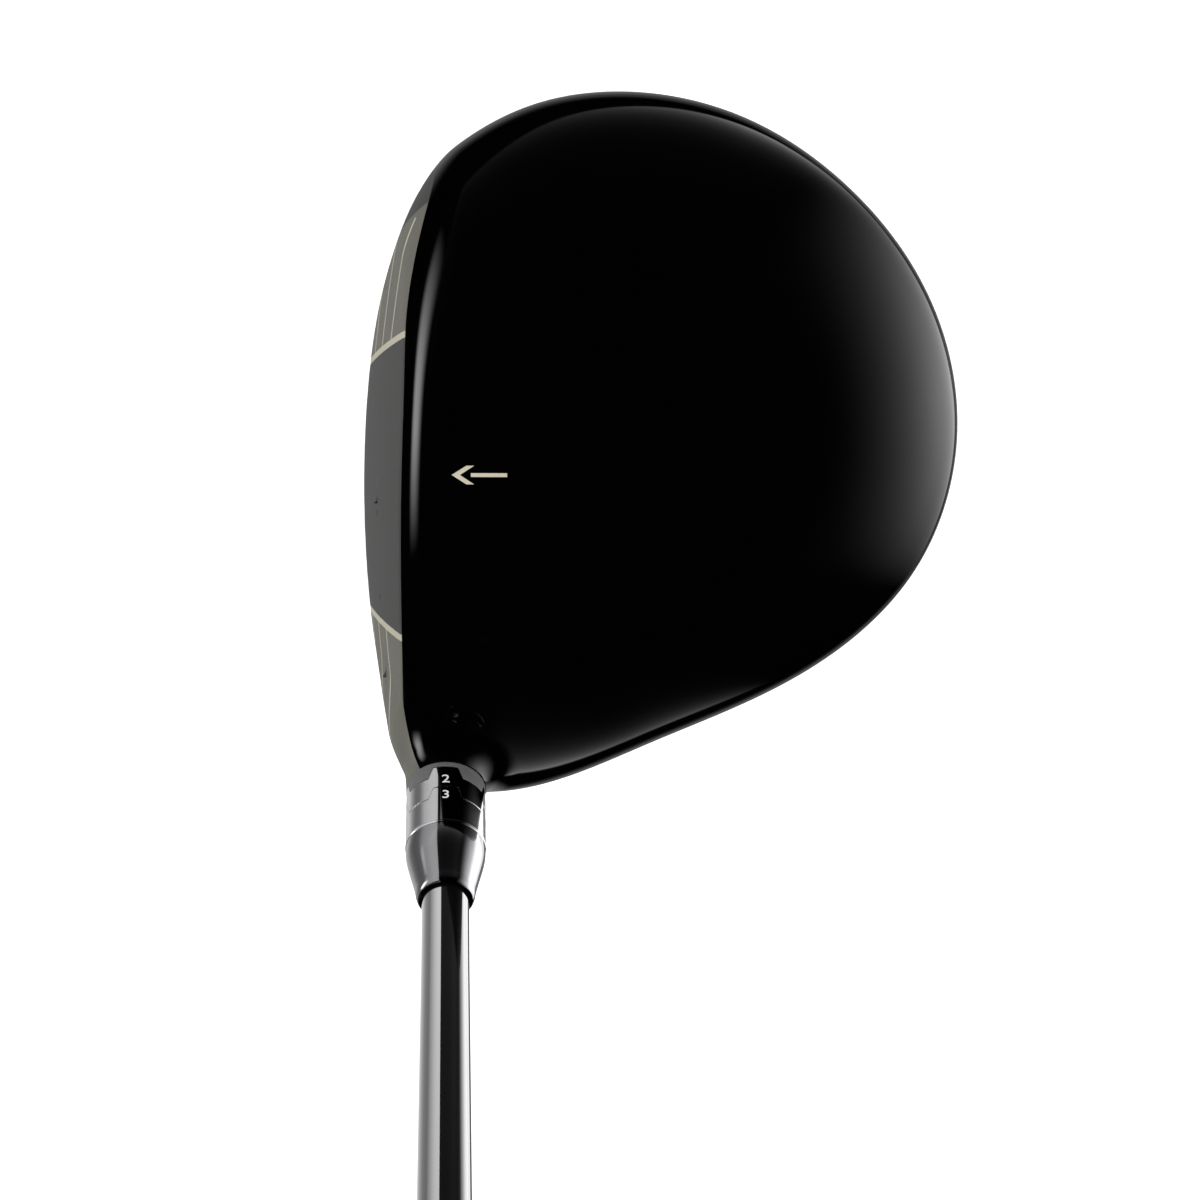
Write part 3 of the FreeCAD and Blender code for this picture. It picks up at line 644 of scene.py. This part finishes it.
def crown_line(p):
    """More than 0 on the crown's own shell."""
    behind = np.minimum(lift_above_rim(p) - CROWN_SEAM, -CROWN_SETBACK - from_face(p))
    return np.minimum(behind, shaft_place(p)[1] - CROWN_CLEARANCE)


def face_line(p):
    """More than 0 on the bare face, less on the paint."""
    wrap = WRAP_DEPTH * (np.maximum(WRAP_START - p[:, 0], 0) / WRAP_REACH) ** 2
    return from_face(p) + 0.16 + wrap


def band_line(p):
    """More than 0 on the hosel's bare rim and beyond."""
    return shaft_place(p)[0] - HOSEL_BAND


def port_line(p):
    """Less than 0 inside the wrench port."""
    along, out = shaft_place(p)
    return np.where(along < PORT_REACH, out - PORT_BORE, FAR)


def slot_line(p):
    """Distance outside the rear weight's round-ended outline."""
    side = np.array([1.0, 0, 0])
    across = np.cross(WEIGHT_WAY, side)
    away = p - WEIGHT_MIDDLE
    half = (WEIGHT_LENGTH - WEIGHT_WIDTH) / 2
    x = np.maximum(np.abs(away @ side) - half, 0)
    return np.where(p[:, 2] < SOLE_TOP, np.hypot(x, away @ across) - WEIGHT_WIDTH / 2, FAR)


def recess_line(p):
    """Less than 0 inside the hole for the weight's screw."""
    away = p - WEIGHT_MIDDLE
    along = away @ WEIGHT_WAY
    out = np.linalg.norm(away - along[:, None] * WEIGHT_WAY, axis=1)
    return np.where(p[:, 2] < SOLE_TOP, out - WEIGHT_SCREW_HOLE, FAR)


CUTS = (
    (crown_line, 0.0), (crown_line, SEAM_HALF), (crown_line, -SEAM_HALF), (face_line, 0.0),
    (band_line, 0.0), (port_line, 0.0), (slot_line, -WEIGHT_PLAY), (slot_line, 0.0), (recess_line, 0.0),
)


def skin_slope(points):
    """The head's slope at points of its skin. On the face it is the ball's own, which has no kinks."""
    slope = slope_of(from_head, points, NORMAL_STEP)
    on_ball = np.clip(1 - np.abs(from_face(points)) / 0.02, 0, 1) * (from_form(points) < -1.9)
    return slope + on_ball[:, None] * (slope_of(from_face, points, NORMAL_STEP) - slope)


def make_head():
    """The skin of the whole head, cut along its seams into four pieces with walls of their own."""
    points, faces = skin_of(from_head, SKIN_LOW, SKIN_HIGH, SKIN_STEP)
    points = evened(points, faces, from_head)
    for line, level in CUTS:
        points, faces = scored(points, faces, line, level, from_head)

    slope = skin_slope(points)
    at = points[faces].mean(1)
    gone = (band_line(at) > 0) | (port_line(at) < 0)
    crown = (crown_line(at) > 0) & ~gone
    inside_face = (from_face(at) > -1.5) & (from_form(at) < -9)
    face = ((face_line(at) > 0) | inside_face) & ~gone
    weight = (slot_line(at) < -WEIGHT_PLAY) & (recess_line(at) > 0)
    play = (slot_line(at) < 0) & ~weight
    body = ~(crown | face | gone | weight | play)

    seam = np.clip(1 - np.abs(crown_line(points)) / SEAM_HALF, 0, 1)
    clear = np.minimum(-CROWN_SETBACK - from_face(points), shaft_place(points)[1] - CROWN_CLEARANCE)
    sink = SEAM_DEPTH * seam * np.clip(clear / 4, 0, 1)
    for name, keep, material, rides, node, wall in (
        ("crown", crown, crown_lacquer, "head", "crown_shell", WALL),
        ("head_body", body, body_lacquer, "head", "body_shell", WALL),
        ("face", face, face_metal, "head", "face_plate", WALL),
        ("weight_skin", weight, weight_metal, "weight", "rear_weight", WEIGHT_WALL),
    ):
        some, tris, used = picked(points, faces, keep)
        piece = walled(name, some, tris, slope[used], wall, material, rides, sink[used])
        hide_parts(node)


make_head()


# ---------------------------------------------------------------- marks

AIM_MARK = {  # corners as (towards the back, towards the heel)
    "aim_chevron_left": ((-23.9, -3.8), (-21.2, -5.5), (-19.8, -5.5), (-22.4, -3.8)),
    "aim_chevron_right": ((-23.9, -3.8), (-22.4, -3.8), (-19.8, -2.1), (-21.2, -2.1)),
    "aim_bar": ((-20.4, -4.15), (-13.8, -4.15), (-13.8, -3.45), (-20.4, -3.45)),
}
MARK_STEPS = 9  # points along each side of a mark
MARK_LIFT, MARK_WALL = 0.03, 0.1
CROWN_TOP = 58.4


def crown_mark():
    """A small chevron with a bar behind it, which lines the face up with the target."""
    shares = np.linspace(0, 1, MARK_STEPS)
    cells = [row * MARK_STEPS + i for row in range(MARK_STEPS - 1) for i in range(MARK_STEPS - 1)]
    for name, corners in AIM_MARK.items():
        a, b, c, d = (np.array([x, y, CROWN_TOP]) for y, x in corners)
        grid = [(a * (1 - u) + b * u) * (1 - v) + (d * (1 - u) + c * u) * v for v in shares for u in shares]
        points = onto(from_head, np.array(grid))
        slope = slope_of(from_head, points, NORMAL_STEP)
        slope = slope / np.linalg.norm(slope, axis=1)[:, None]
        faces = np.array([
            triangle for i in cells
            for triangle in ((i, i + 1, i + 1 + MARK_STEPS), (i, i + 1 + MARK_STEPS, i + MARK_STEPS))
        ])
        first, second, third = points[faces[0]]
        if np.cross(second - first, third - first) @ slope[0] < 0:
            faces = faces[:, ::-1]
        walled(name, points + MARK_LIFT * slope, faces, slope, MARK_WALL, champagne, "head")


crown_mark()

NUMBER_HEIGHT, NUMBER_WIDENING, NUMBER_DEPTH = 2.0, 1.15, 0.06  # wider than the font's own numbers
RING_NUMBERS, SLEEVE_NUMBERS = 60.7, 64.8  # their places along the shaft


def numeral(name, text, along, quarter, body):
    """A printed number wrapped round the adapter, its top towards the head."""
    curve = bpy.data.curves.new(name, "FONT")
    curve.body = text
    curve.align_x = "CENTER"
    curve.align_y = "CENTER"
    curve.extrude = 0.02
    flat = bpy.data.objects.new(name + "_flat", curve)
    bpy.context.scene.collection.objects.link(flat)
    depsgraph = bpy.context.evaluated_depsgraph_get()
    mesh = bpy.data.meshes.new_from_object(flat.evaluated_get(depsgraph))
    bpy.data.objects.remove(flat)
    build = bmesh.new()
    build.from_mesh(mesh)
    bmesh.ops.remove_doubles(build, verts=build.verts, dist=1e-5)
    bmesh.ops.triangulate(build, faces=build.faces)
    bmesh.ops.subdivide_edges(build, edges=build.edges, cuts=2)
    bmesh.ops.triangulate(build, faces=build.faces)
    place = np.array([vertex.co[:] for vertex in build.verts])
    build.verts.index_update()
    faces = [[vertex.index for vertex in face.verts] for face in build.faces]
    build.free()
    bpy.data.meshes.remove(mesh)
    place = place - (place.max(0) + place.min(0)) / 2
    place[:, :2] *= NUMBER_HEIGHT / np.ptp(place[:, 1]) * np.array([NUMBER_WIDENING, 1])
    place[:, 2] *= NUMBER_DEPTH / np.ptp(place[:, 2])
    out = round_shaft(quarter * math.pi / 2 + place[:, 0] / COLLAR)
    radius = COLLAR + 0.02 + place[:, 2]
    points = SHAFT_FOOT + (along - place[:, 1])[:, None] * SHAFT_WAY + radius[:, None] * out
    outwards(new_piece(name, points, faces, white_mark, body, crease=30))


for quarter in range(4):
    numeral(f"ring_number_{quarter + 1}", str((quarter + 3) % 4 + 1), RING_NUMBERS, quarter + 2, "ring")
    numeral(f"sleeve_number_{quarter + 1}", str(quarter + 1), SLEEVE_NUMBERS, quarter + 2, "shaft_assembly")


# ---------------------------------------------------------------- hosel rim, ring, sleeve and ferrule


def make_adapter():
    turns = toothed_angles(COLLAR, TOOTH_TIP, TOOTH_ROOT, 120)
    flat = np.zeros(len(turns))
    notch = toothed_edge(turns, COLLAR, HOSEL_TOP, TOOTH_DEPTH, TOOTH_TIP, TOOTH_ROOT)
    step = toothed_edge(turns, COLLAR, RING_TOP, TOOTH_DEPTH, TOOTH_TIP, TOOTH_ROOT)
    sleeve_wall("hosel_rim", turns, flat + HOSEL_BAND, notch - TOOTH_GAP, HOSEL_OUTER, HOSEL_BORE,
                bare_rim, "head")
    sleeve_wall("hosel_bore", turns, flat + SEAT_FLOOR, flat + HOSEL_BAND - 0.2, 6.4, HOSEL_BORE,
                plain_steel, "head", 0.05)
    ring = sleeve_wall("toothed_ring", turns, notch + 0.05, step - TOOTH_GAP, COLLAR, 5.45,
                       polished_alloy, "ring")
    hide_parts("adapter_ring")
    sleeve_wall("toothed_collar", turns, step + TOOTH_GAP, flat + SLEEVE_TOP, COLLAR, SLEEVE_BORE,
                polished_alloy, "shaft_assembly")
    barrel = lathe("sleeve_barrel", [
        (SCREW_BORE, SLEEVE_FOOT), (SLEEVE_BARREL - 0.4, SLEEVE_FOOT), (SLEEVE_BARREL, SLEEVE_FOOT + 0.6),
        (SLEEVE_BARREL, RING_TOP - 2.7), (SLEEVE_BORE, RING_TOP - 2.7), (SLEEVE_BORE, SHAFT_POCKET),
        (SCREW_BORE, SHAFT_POCKET),
    ], polished_alloy, "shaft_assembly")
    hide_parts("adapter_sleeve")
    trim = lathe("ferrule_trim", [
        (TRIM_BORE, SLEEVE_TOP), (TRIM_OUTER - 0.06, SLEEVE_TOP), (TRIM_OUTER, SLEEVE_TOP + 0.1),
        (TRIM_OUTER, TRIM_TOP - 0.1), (TRIM_OUTER - 0.06, TRIM_TOP), (TRIM_BORE, TRIM_TOP),
    ], bright_trim, "shaft_assembly")
    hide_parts("ferrule_trim_ring")
    outline = [(7.34, 0), (7.4, 0.1), (7.4, 0.3), (7.38, 1.6), (7.28, 2.6), (7.08, 3.8), (6.84, 4.9),
               (6.45, 6.6)]
    lip = [(6.05, 4.4), (5.62, 2.4), (5.56, 2.1), (5.42, 1.1), (5.2, 0.3), (5.0, 0.05), (4.85, 0.1),
           (4.74, 0.4)]
    ferrule = lathe("ferrule_cone", [
        (TRIM_BORE, TRIM_TOP), *((radius, TRIM_TOP + up) for radius, up in outline),
        *((radius, FERRULE_TOP - down) for radius, down in lip),
        (4.7, FERRULE_TOP - 1.6), (TRIM_BORE, FERRULE_TOP - 1.6),
    ], ferrule_gloss, "shaft_assembly")
    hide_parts("ferrule")


# ---------------------------------------------------------------- shaft and grip


def make_shaft():
    """The shaft, the grip over its butt, and the cap on the grip's end."""
    taper = [(SHAFT_TIP + (SHAFT_BUTT - SHAFT_TIP) * t, 100 + 850 * t) for t in np.linspace(0.05, 1, 20)]
    shaft = lathe("shaft_tube", [
        (SHAFT_TIP, 43.0), (SHAFT_TIP, 100.0), *taper, (SHAFT_BUTT, SHAFT_END),
        (SHAFT_BUTT_BORE, SHAFT_END), (SHAFT_BUTT_BORE, 950.0), (SHAFT_TIP_BORE, 53.0), (SHAFT_TIP_BORE, 43.0),
    ], shaft_gloss, "shaft_assembly")
    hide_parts("shaft")
    grip = lathe("grip_sleeve", [
        (7.66, GRIP_MOUTH), (9.2, GRIP_MOUTH), (9.4, GRIP_MOUTH + 0.3), (9.45, GRIP_MOUTH + 3),
        (9.8, GRIP_MOUTH + 8), (10.6, 970.0), (11.4, 1060.0), (12.1, 1095.0), (12.8, SHAFT_END - 30),
        (13.1, SHAFT_END - 12), (GRIP_BUTT, SHAFT_END - 4), (GRIP_BUTT, SHAFT_END - 0.5),
        (GRIP_BUTT - 0.3, SHAFT_END), (7.9, SHAFT_END), (7.9, 950.0),
    ], grip_rubber, "shaft_assembly")
    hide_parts("grip")
    cap = lathe("grip_cap", [
        (1.5, SHAFT_END), (GRIP_BUTT - 0.3, SHAFT_END), (GRIP_BUTT, SHAFT_END + 0.4),
        (GRIP_BUTT, CLUB_LENGTH - 2.0), (GRIP_BUTT - 0.5, CLUB_LENGTH - 0.8),
        (GRIP_BUTT - 1.6, CLUB_LENGTH - 0.1), (GRIP_BUTT - 3, CLUB_LENGTH), (1.5, CLUB_LENGTH),
    ], cap_rubber, "shaft_assembly")
    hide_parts("grip_end_cap")


PAD_SIZES = {
    "Rings": 34, "Pads": 14, "Pitch": 6.9, "Mouth Radius": 9.72, "Butt Radius": 12.55, "Length": 228.0,
    "Twist": 0.2244, "Pad Width": 1.5, "Pad Length": 3.4, "Pad Height": 0.5,
}
PADS_START = 14.0  # from the grip's mouth


def pad_tree(material):
    """Rings of small raised pads on a tapering grip, which stands on the Z axis with its mouth at 0."""
    tree = bpy.data.node_groups.new("grip_pads", "GeometryNodeTree")
    for name, value in PAD_SIZES.items():
        kind = "NodeSocketInt" if isinstance(value, int) else "NodeSocketFloat"
        tree.interface.new_socket(name, in_out="INPUT", socket_type=kind)
    tree.interface.new_socket("Geometry", in_out="OUTPUT", socket_type="NodeSocketGeometry")
    given = tree.nodes.new("NodeGroupInput")

    def size(name):
        return given.outputs[name]

    def do(operation, *values):
        return node_math(tree, operation, *values)

    count = do("MULTIPLY", size("Rings"), size("Pads"))
    line = new_node(tree, "GeometryNodeMeshLine", {"Count": count})
    index = tree.nodes.new("GeometryNodeInputIndex").outputs[0]
    ring = do("FLOOR", do("DIVIDE", index, size("Pads")))
    turn = do("ADD", do("MULTIPLY", do("DIVIDE", index, size("Pads")), 2 * math.pi),
              do("MULTIPLY", ring, size("Twist")))
    along = do("MULTIPLY", ring, size("Pitch"))
    wider = do("SUBTRACT", size("Butt Radius"), size("Mouth Radius"))
    radius = do("MULTIPLY_ADD", do("DIVIDE", along, size("Length")), wider, size("Mouth Radius"))
    across = do("COSINE", turn)
    deep = do("SINE", turn)
    place = new_node(tree, "ShaderNodeCombineXYZ", {
        "X": do("MULTIPLY", across, radius), "Y": do("MULTIPLY", deep, radius), "Z": along,
    })
    outward = new_node(tree, "ShaderNodeCombineXYZ", {"X": across, "Y": deep})
    placed = new_node(tree, "GeometryNodeSetPosition", {
        "Geometry": line.outputs[0], "Position": place.outputs[0],
    })
    align = new_node(tree, "FunctionNodeAlignRotationToVector", {"Vector": outward.outputs[0]})
    align.axis = "X"
    align.pivot_axis = "Z"
    pad_size = new_node(tree, "ShaderNodeCombineXYZ", {
        "X": size("Pad Height"), "Y": size("Pad Width"), "Z": size("Pad Length"),
    })
    pad = new_node(tree, "GeometryNodeMeshUVSphere", {"Segments": 8, "Rings": 6, "Radius": 0.5})
    spread = new_node(tree, "GeometryNodeInstanceOnPoints", {
        "Points": placed.outputs[0], "Instance": pad.outputs[0], "Rotation": align.outputs[0],
        "Scale": pad_size.outputs[0],
    })
    real = new_node(tree, "GeometryNodeRealizeInstances", {0: spread.outputs[0]})
    coat = new_node(tree, "GeometryNodeSetMaterial", {"Geometry": real.outputs[0], "Material": material})
    new_node(tree, "NodeGroupOutput", {0: coat.outputs[0]})
    return tree


def make_grip_pads():
    """The pads as one mesh on the grip. The tree works in millimetres on the Z axis."""
    tree = pad_tree(grip_rubber)
    holder = bpy.data.objects.new("grip_pads_source", bpy.data.meshes.new("grip_pads_source"))
    bpy.context.scene.collection.objects.link(holder)
    modifier = holder.modifiers.new("pads", "NODES")
    modifier.node_group = tree
    for item in tree.interface.items_tree:
        if item.in_out == "INPUT":
            modifier[item.identifier] = PAD_SIZES[item.name]
    depsgraph = bpy.context.evaluated_depsgraph_get()
    mesh = bpy.data.meshes.new_from_object(holder.evaluated_get(depsgraph))
    holder.modifiers.remove(modifier)
    bpy.data.objects.remove(holder)
    local = np.array([vertex.co[:] for vertex in mesh.vertices])
    faces = [list(polygon.vertices) for polygon in mesh.polygons]
    bpy.data.meshes.remove(mesh)
    points = SHAFT_FOOT + (GRIP_MOUTH + PADS_START + local[:, 2])[:, None] * SHAFT_WAY
    points = points + local[:, 0:1] * SHAFT_SIDE + local[:, 1:2] * BACKWARD
    outwards(new_piece("grip_pads", points, faces, grip_rubber, "shaft_assembly", crease=60))


make_adapter()
make_shaft()
make_grip_pads()


# ---------------------------------------------------------------- studio


def turn_from(tree, sky, middle):
    """The direction's turn about the vertical from a middle direction, in degrees."""
    middle = math.radians(middle)
    parts = []
    for way in ((math.cos(middle), math.sin(middle), 0), (-math.sin(middle), math.cos(middle), 0)):
        dot = new_node(tree, "ShaderNodeVectorMath", {0: sky, 1: way})
        dot.operation = "DOT_PRODUCT"
        parts.append(dot.outputs["Value"])
    return times(tree, node_math(tree, "ARCTAN2", parts[1], parts[0]), 180 / math.pi)


def sweep(tree, rise, floor_at, fade):
    """A light with a crisp lower edge that fades upwards."""
    over = node_math(tree, "SUBTRACT", rise, floor_at)
    falling = node_math(tree, "EXPONENT", times(tree, node_math(tree, "MAXIMUM", over, 0.0), -1 / fade))
    return times(tree, falling, ramp(tree, over, -2.0, 1.0))


def studio_glow(tree, sky):
    """What polished surfaces see, against the turn and the rise of the reflection in degrees.

    It is a dark room with a tall soft light behind the head, one each at the toe and the heel with a
    slanting lower edge, a narrow light in front of the face, and a faint glow from the floor.
    """
    parts = new_node(tree, "ShaderNodeSeparateXYZ", {"Vector": sky})
    rise = times(tree, node_math(tree, "ARCSINE", parts.outputs["Z"]), 180 / math.pi)
    turn = turn_from(tree, sky, 85)
    front = turn_from(tree, sky, -100)

    behind = times(tree, ramp(tree, turn, -33, 10), ramp(tree, turn, 53, 7), ramp(tree, rise, -47, -43),
                   node_math(tree, "POWER", ramp(tree, rise, 48, -12), 1.5), 2.2)
    toe_edge = node_math(tree, "MULTIPLY_ADD", turn, 0.48, -33 - 0.48 * 65)
    toe_fade = node_math(tree, "EXPONENT", times(tree, node_math(tree, "SUBTRACT", turn, 65.0), -1 / 20))
    toe = times(tree, ramp(tree, turn, 32, 62), node_math(tree, "MINIMUM", toe_fade, 1.0), 1.7,
                sweep(tree, rise, toe_edge, 9.5))
    heel_edge = node_math(tree, "MULTIPLY_ADD", turn, -0.65, -24 - 0.65 * 62)
    heel = times(tree, ramp(tree, turn, -54, -70), ramp(tree, turn, -86, -76), 1.7,
                 sweep(tree, rise, heel_edge, 9.0))
    before = times(tree, ramp(tree, front, -26, 2), ramp(tree, front, 22, 6), ramp(tree, rise, -14, -5),
                   ramp(tree, rise, 12, -1), 4.4)
    low = times(tree, ramp(tree, rise, -38, -62), 0.3)
    total = behind
    for light in (toe, heel, before, low):
        total = node_math(tree, "ADD", total, light)
    return total


FITTINGS = ("toothed_ring", "toothed_collar", "ferrule_trim", "ferrule_cone")
CARD_SIDE = np.array([-0.85, -0.075, 0.52])  # where turn 0 is, seen from the shaft
CARD_BACK, CARD_OUT = -0.647, 0.763  # the way to a card, along the shaft and out from it
CARD_DISTANCE, CARD_HALF_LENGTH = 1.4, 1.2


def light_card(name, lit, glow):
    """A curved soft light that only the named pieces reflect.

    The glow is a row of (turn round the shaft's reflection cone in degrees, brightness there).
    """
    middle = SHAFT_FOOT * MM + 0.125 * SHAFT_WAY
    columns, strengths = [], []
    for (turn, strength), (after, next_strength) in zip(glow, glow[1:]):
        for share in np.linspace(0, 1, 6, endpoint=False):
            columns.append(turn + (after - turn) * share)
            strengths.append(strength + (next_strength - strength) * share)
    columns.append(glow[-1][0])
    strengths.append(glow[-1][1])
    points, levels = [], []
    for turn, strength in zip(columns, strengths):
        angle = math.radians(turn)
        out = math.cos(angle) * CARD_SIDE + math.sin(angle) * BACKWARD
        way = CARD_BACK * SHAFT_WAY + CARD_OUT * out
        for along in (-CARD_HALF_LENGTH, CARD_HALF_LENGTH):
            points.append(middle + CARD_DISTANCE * way + along * SHAFT_WAY)
            levels.append(strength)
    faces = [(2 * i, 2 * i + 2, 2 * i + 3, 2 * i + 1) for i in range(len(columns) - 1)]
    mesh = bpy.data.meshes.new(name)
    mesh.from_pydata([tuple(point) for point in points], [], faces)
    mesh.attributes.new("level", "FLOAT", "POINT").data.foreach_set("value", levels)
    material = bpy.data.materials.new(name)
    material.use_nodes = True
    tree = material.node_tree
    tree.nodes.clear()
    level = new_node(tree, "ShaderNodeAttribute")
    level.attribute_name = "level"
    glowing = new_node(tree, "ShaderNodeEmission", {"Strength": level.outputs["Fac"]})
    clear = new_node(tree, "ShaderNodeBsdfTransparent")
    both = new_node(tree, "ShaderNodeAddShader", {0: glowing.outputs[0], 1: clear.outputs[0]})
    new_node(tree, "ShaderNodeOutputMaterial", {"Surface": both.outputs[0]})
    mesh.materials.append(material)
    card = bpy.data.objects.new(name, mesh)
    bpy.context.scene.collection.objects.link(card)
    card.visible_camera = False
    card.visible_diffuse = False
    card.visible_shadow = False
    receivers = bpy.data.collections.new(name)
    for piece in lit:
        receivers.objects.link(bpy.data.objects[piece])
    card.light_linking.receiver_collection = receivers


def make_world():
    """Polished surfaces see the studio's glow, and everything else sees an even pale light."""
    world = bpy.data.worlds.new("studio")
    bpy.context.scene.world = world
    world.use_nodes = True
    world.cycles.sampling_method = "NONE"
    tree = world.node_tree
    tree.nodes.clear()
    place = tree.nodes.new("ShaderNodeTexCoord")
    path = tree.nodes.new("ShaderNodeLightPath")
    total = studio_glow(tree, place.outputs["Generated"])
    plain = tree.nodes.new("ShaderNodeMix")
    plain.data_type = "FLOAT"
    tree.links.new(path.outputs["Is Glossy Ray"], plain.inputs["Factor"])
    plain.inputs["A"].default_value = 0.95
    tree.links.new(total, plain.inputs["B"])
    back = new_node(tree, "ShaderNodeBackground", {
        "Color": (1, 1, 1, 1), "Strength": plain.outputs["Result"],
    })
    new_node(tree, "ShaderNodeOutputWorld", {"Surface": back.outputs["Background"]})


def make_cards():
    light_card("left_card", FITTINGS, (
        (-185, 0.5), (-165, 0.45), (-150, 0.42), (-128, 0.52), (-112, 0.32), (-97, 0.22), (-80, 0.26),
        (-62, 0.66), (-44, 0.8), (-30, 0.86), (-19, 0.8),
    ))
    light_card("right_card", FITTINGS, ((84, 0.2), (92, 0.9), (102, 1.4), (122, 1.7), (140, 1.7)))
    light_card("left_shaft_card", ("shaft_tube",), (
        (-170, 1.2), (-150, 1.4), (-120, 2.0), (-100, 1.9), (-80, 2.1), (-60, 5.8), (-44, 9.0),
        (-29, 10.8), (-17, 10.6),
    ))
    light_card("right_shaft_card", ("shaft_tube",), (
        (70, 0.5), (80, 3.0), (97, 7.4), (121, 5.8), (140, 4.0),
    ))


def make_floor(reach=30.0):
    paper = bpy.data.materials.new("floor_paper")
    paper.use_nodes = True
    shader = paper.node_tree.nodes["Principled BSDF"]
    shader.inputs["Base Color"].default_value = (0.9, 0.9, 0.9, 1)
    shader.inputs["Roughness"].default_value = 1.0
    shader.inputs["Specular IOR Level"].default_value = 0.0
    shader.inputs["Emission Color"].default_value = (1, 1, 1, 1)
    shader.inputs["Emission Strength"].default_value = 0.75
    corners = [(-reach, -reach, 0), (reach, -reach, 0), (reach, reach, 0), (-reach, reach, 0)]
    mesh = bpy.data.meshes.new("floor")
    mesh.from_pydata(corners, [], [(0, 1, 2, 3)])
    mesh.materials.append(paper)
    floor = bpy.data.objects.new("floor", mesh)
    bpy.context.scene.collection.objects.link(floor)
    floor.visible_glossy = False


CAMERA_PLACE = (-0.05303, -0.0233, 0.51303)
CAMERA_AHEAD, CAMERA_UP = (0.1567, 0.0578, -0.9860), (-0.9876, 0.0, -0.1569)


def make_camera():
    """Looks down on the head from above it, with the shaft running down the picture."""
    lens = bpy.data.cameras.new("camera")
    lens.sensor_width = 36.0
    lens.lens = 75.2
    lens.clip_start = 0.01
    lens.clip_end = 100.0
    camera = bpy.data.objects.new("camera", lens)
    ahead = Vector(CAMERA_AHEAD).normalized()
    up = Vector(CAMERA_UP)
    right = ahead.cross(up).normalized()
    up = right.cross(ahead)
    turn = Matrix((right, up, -ahead)).transposed().to_4x4()
    turn.translation = Vector(CAMERA_PLACE)
    camera.matrix_world = turn
    bpy.context.scene.collection.objects.link(camera)
    bpy.context.scene.camera = camera


make_world()
make_cards()
make_floor()
make_camera()

bpy.context.scene.view_settings.view_transform = "Standard"
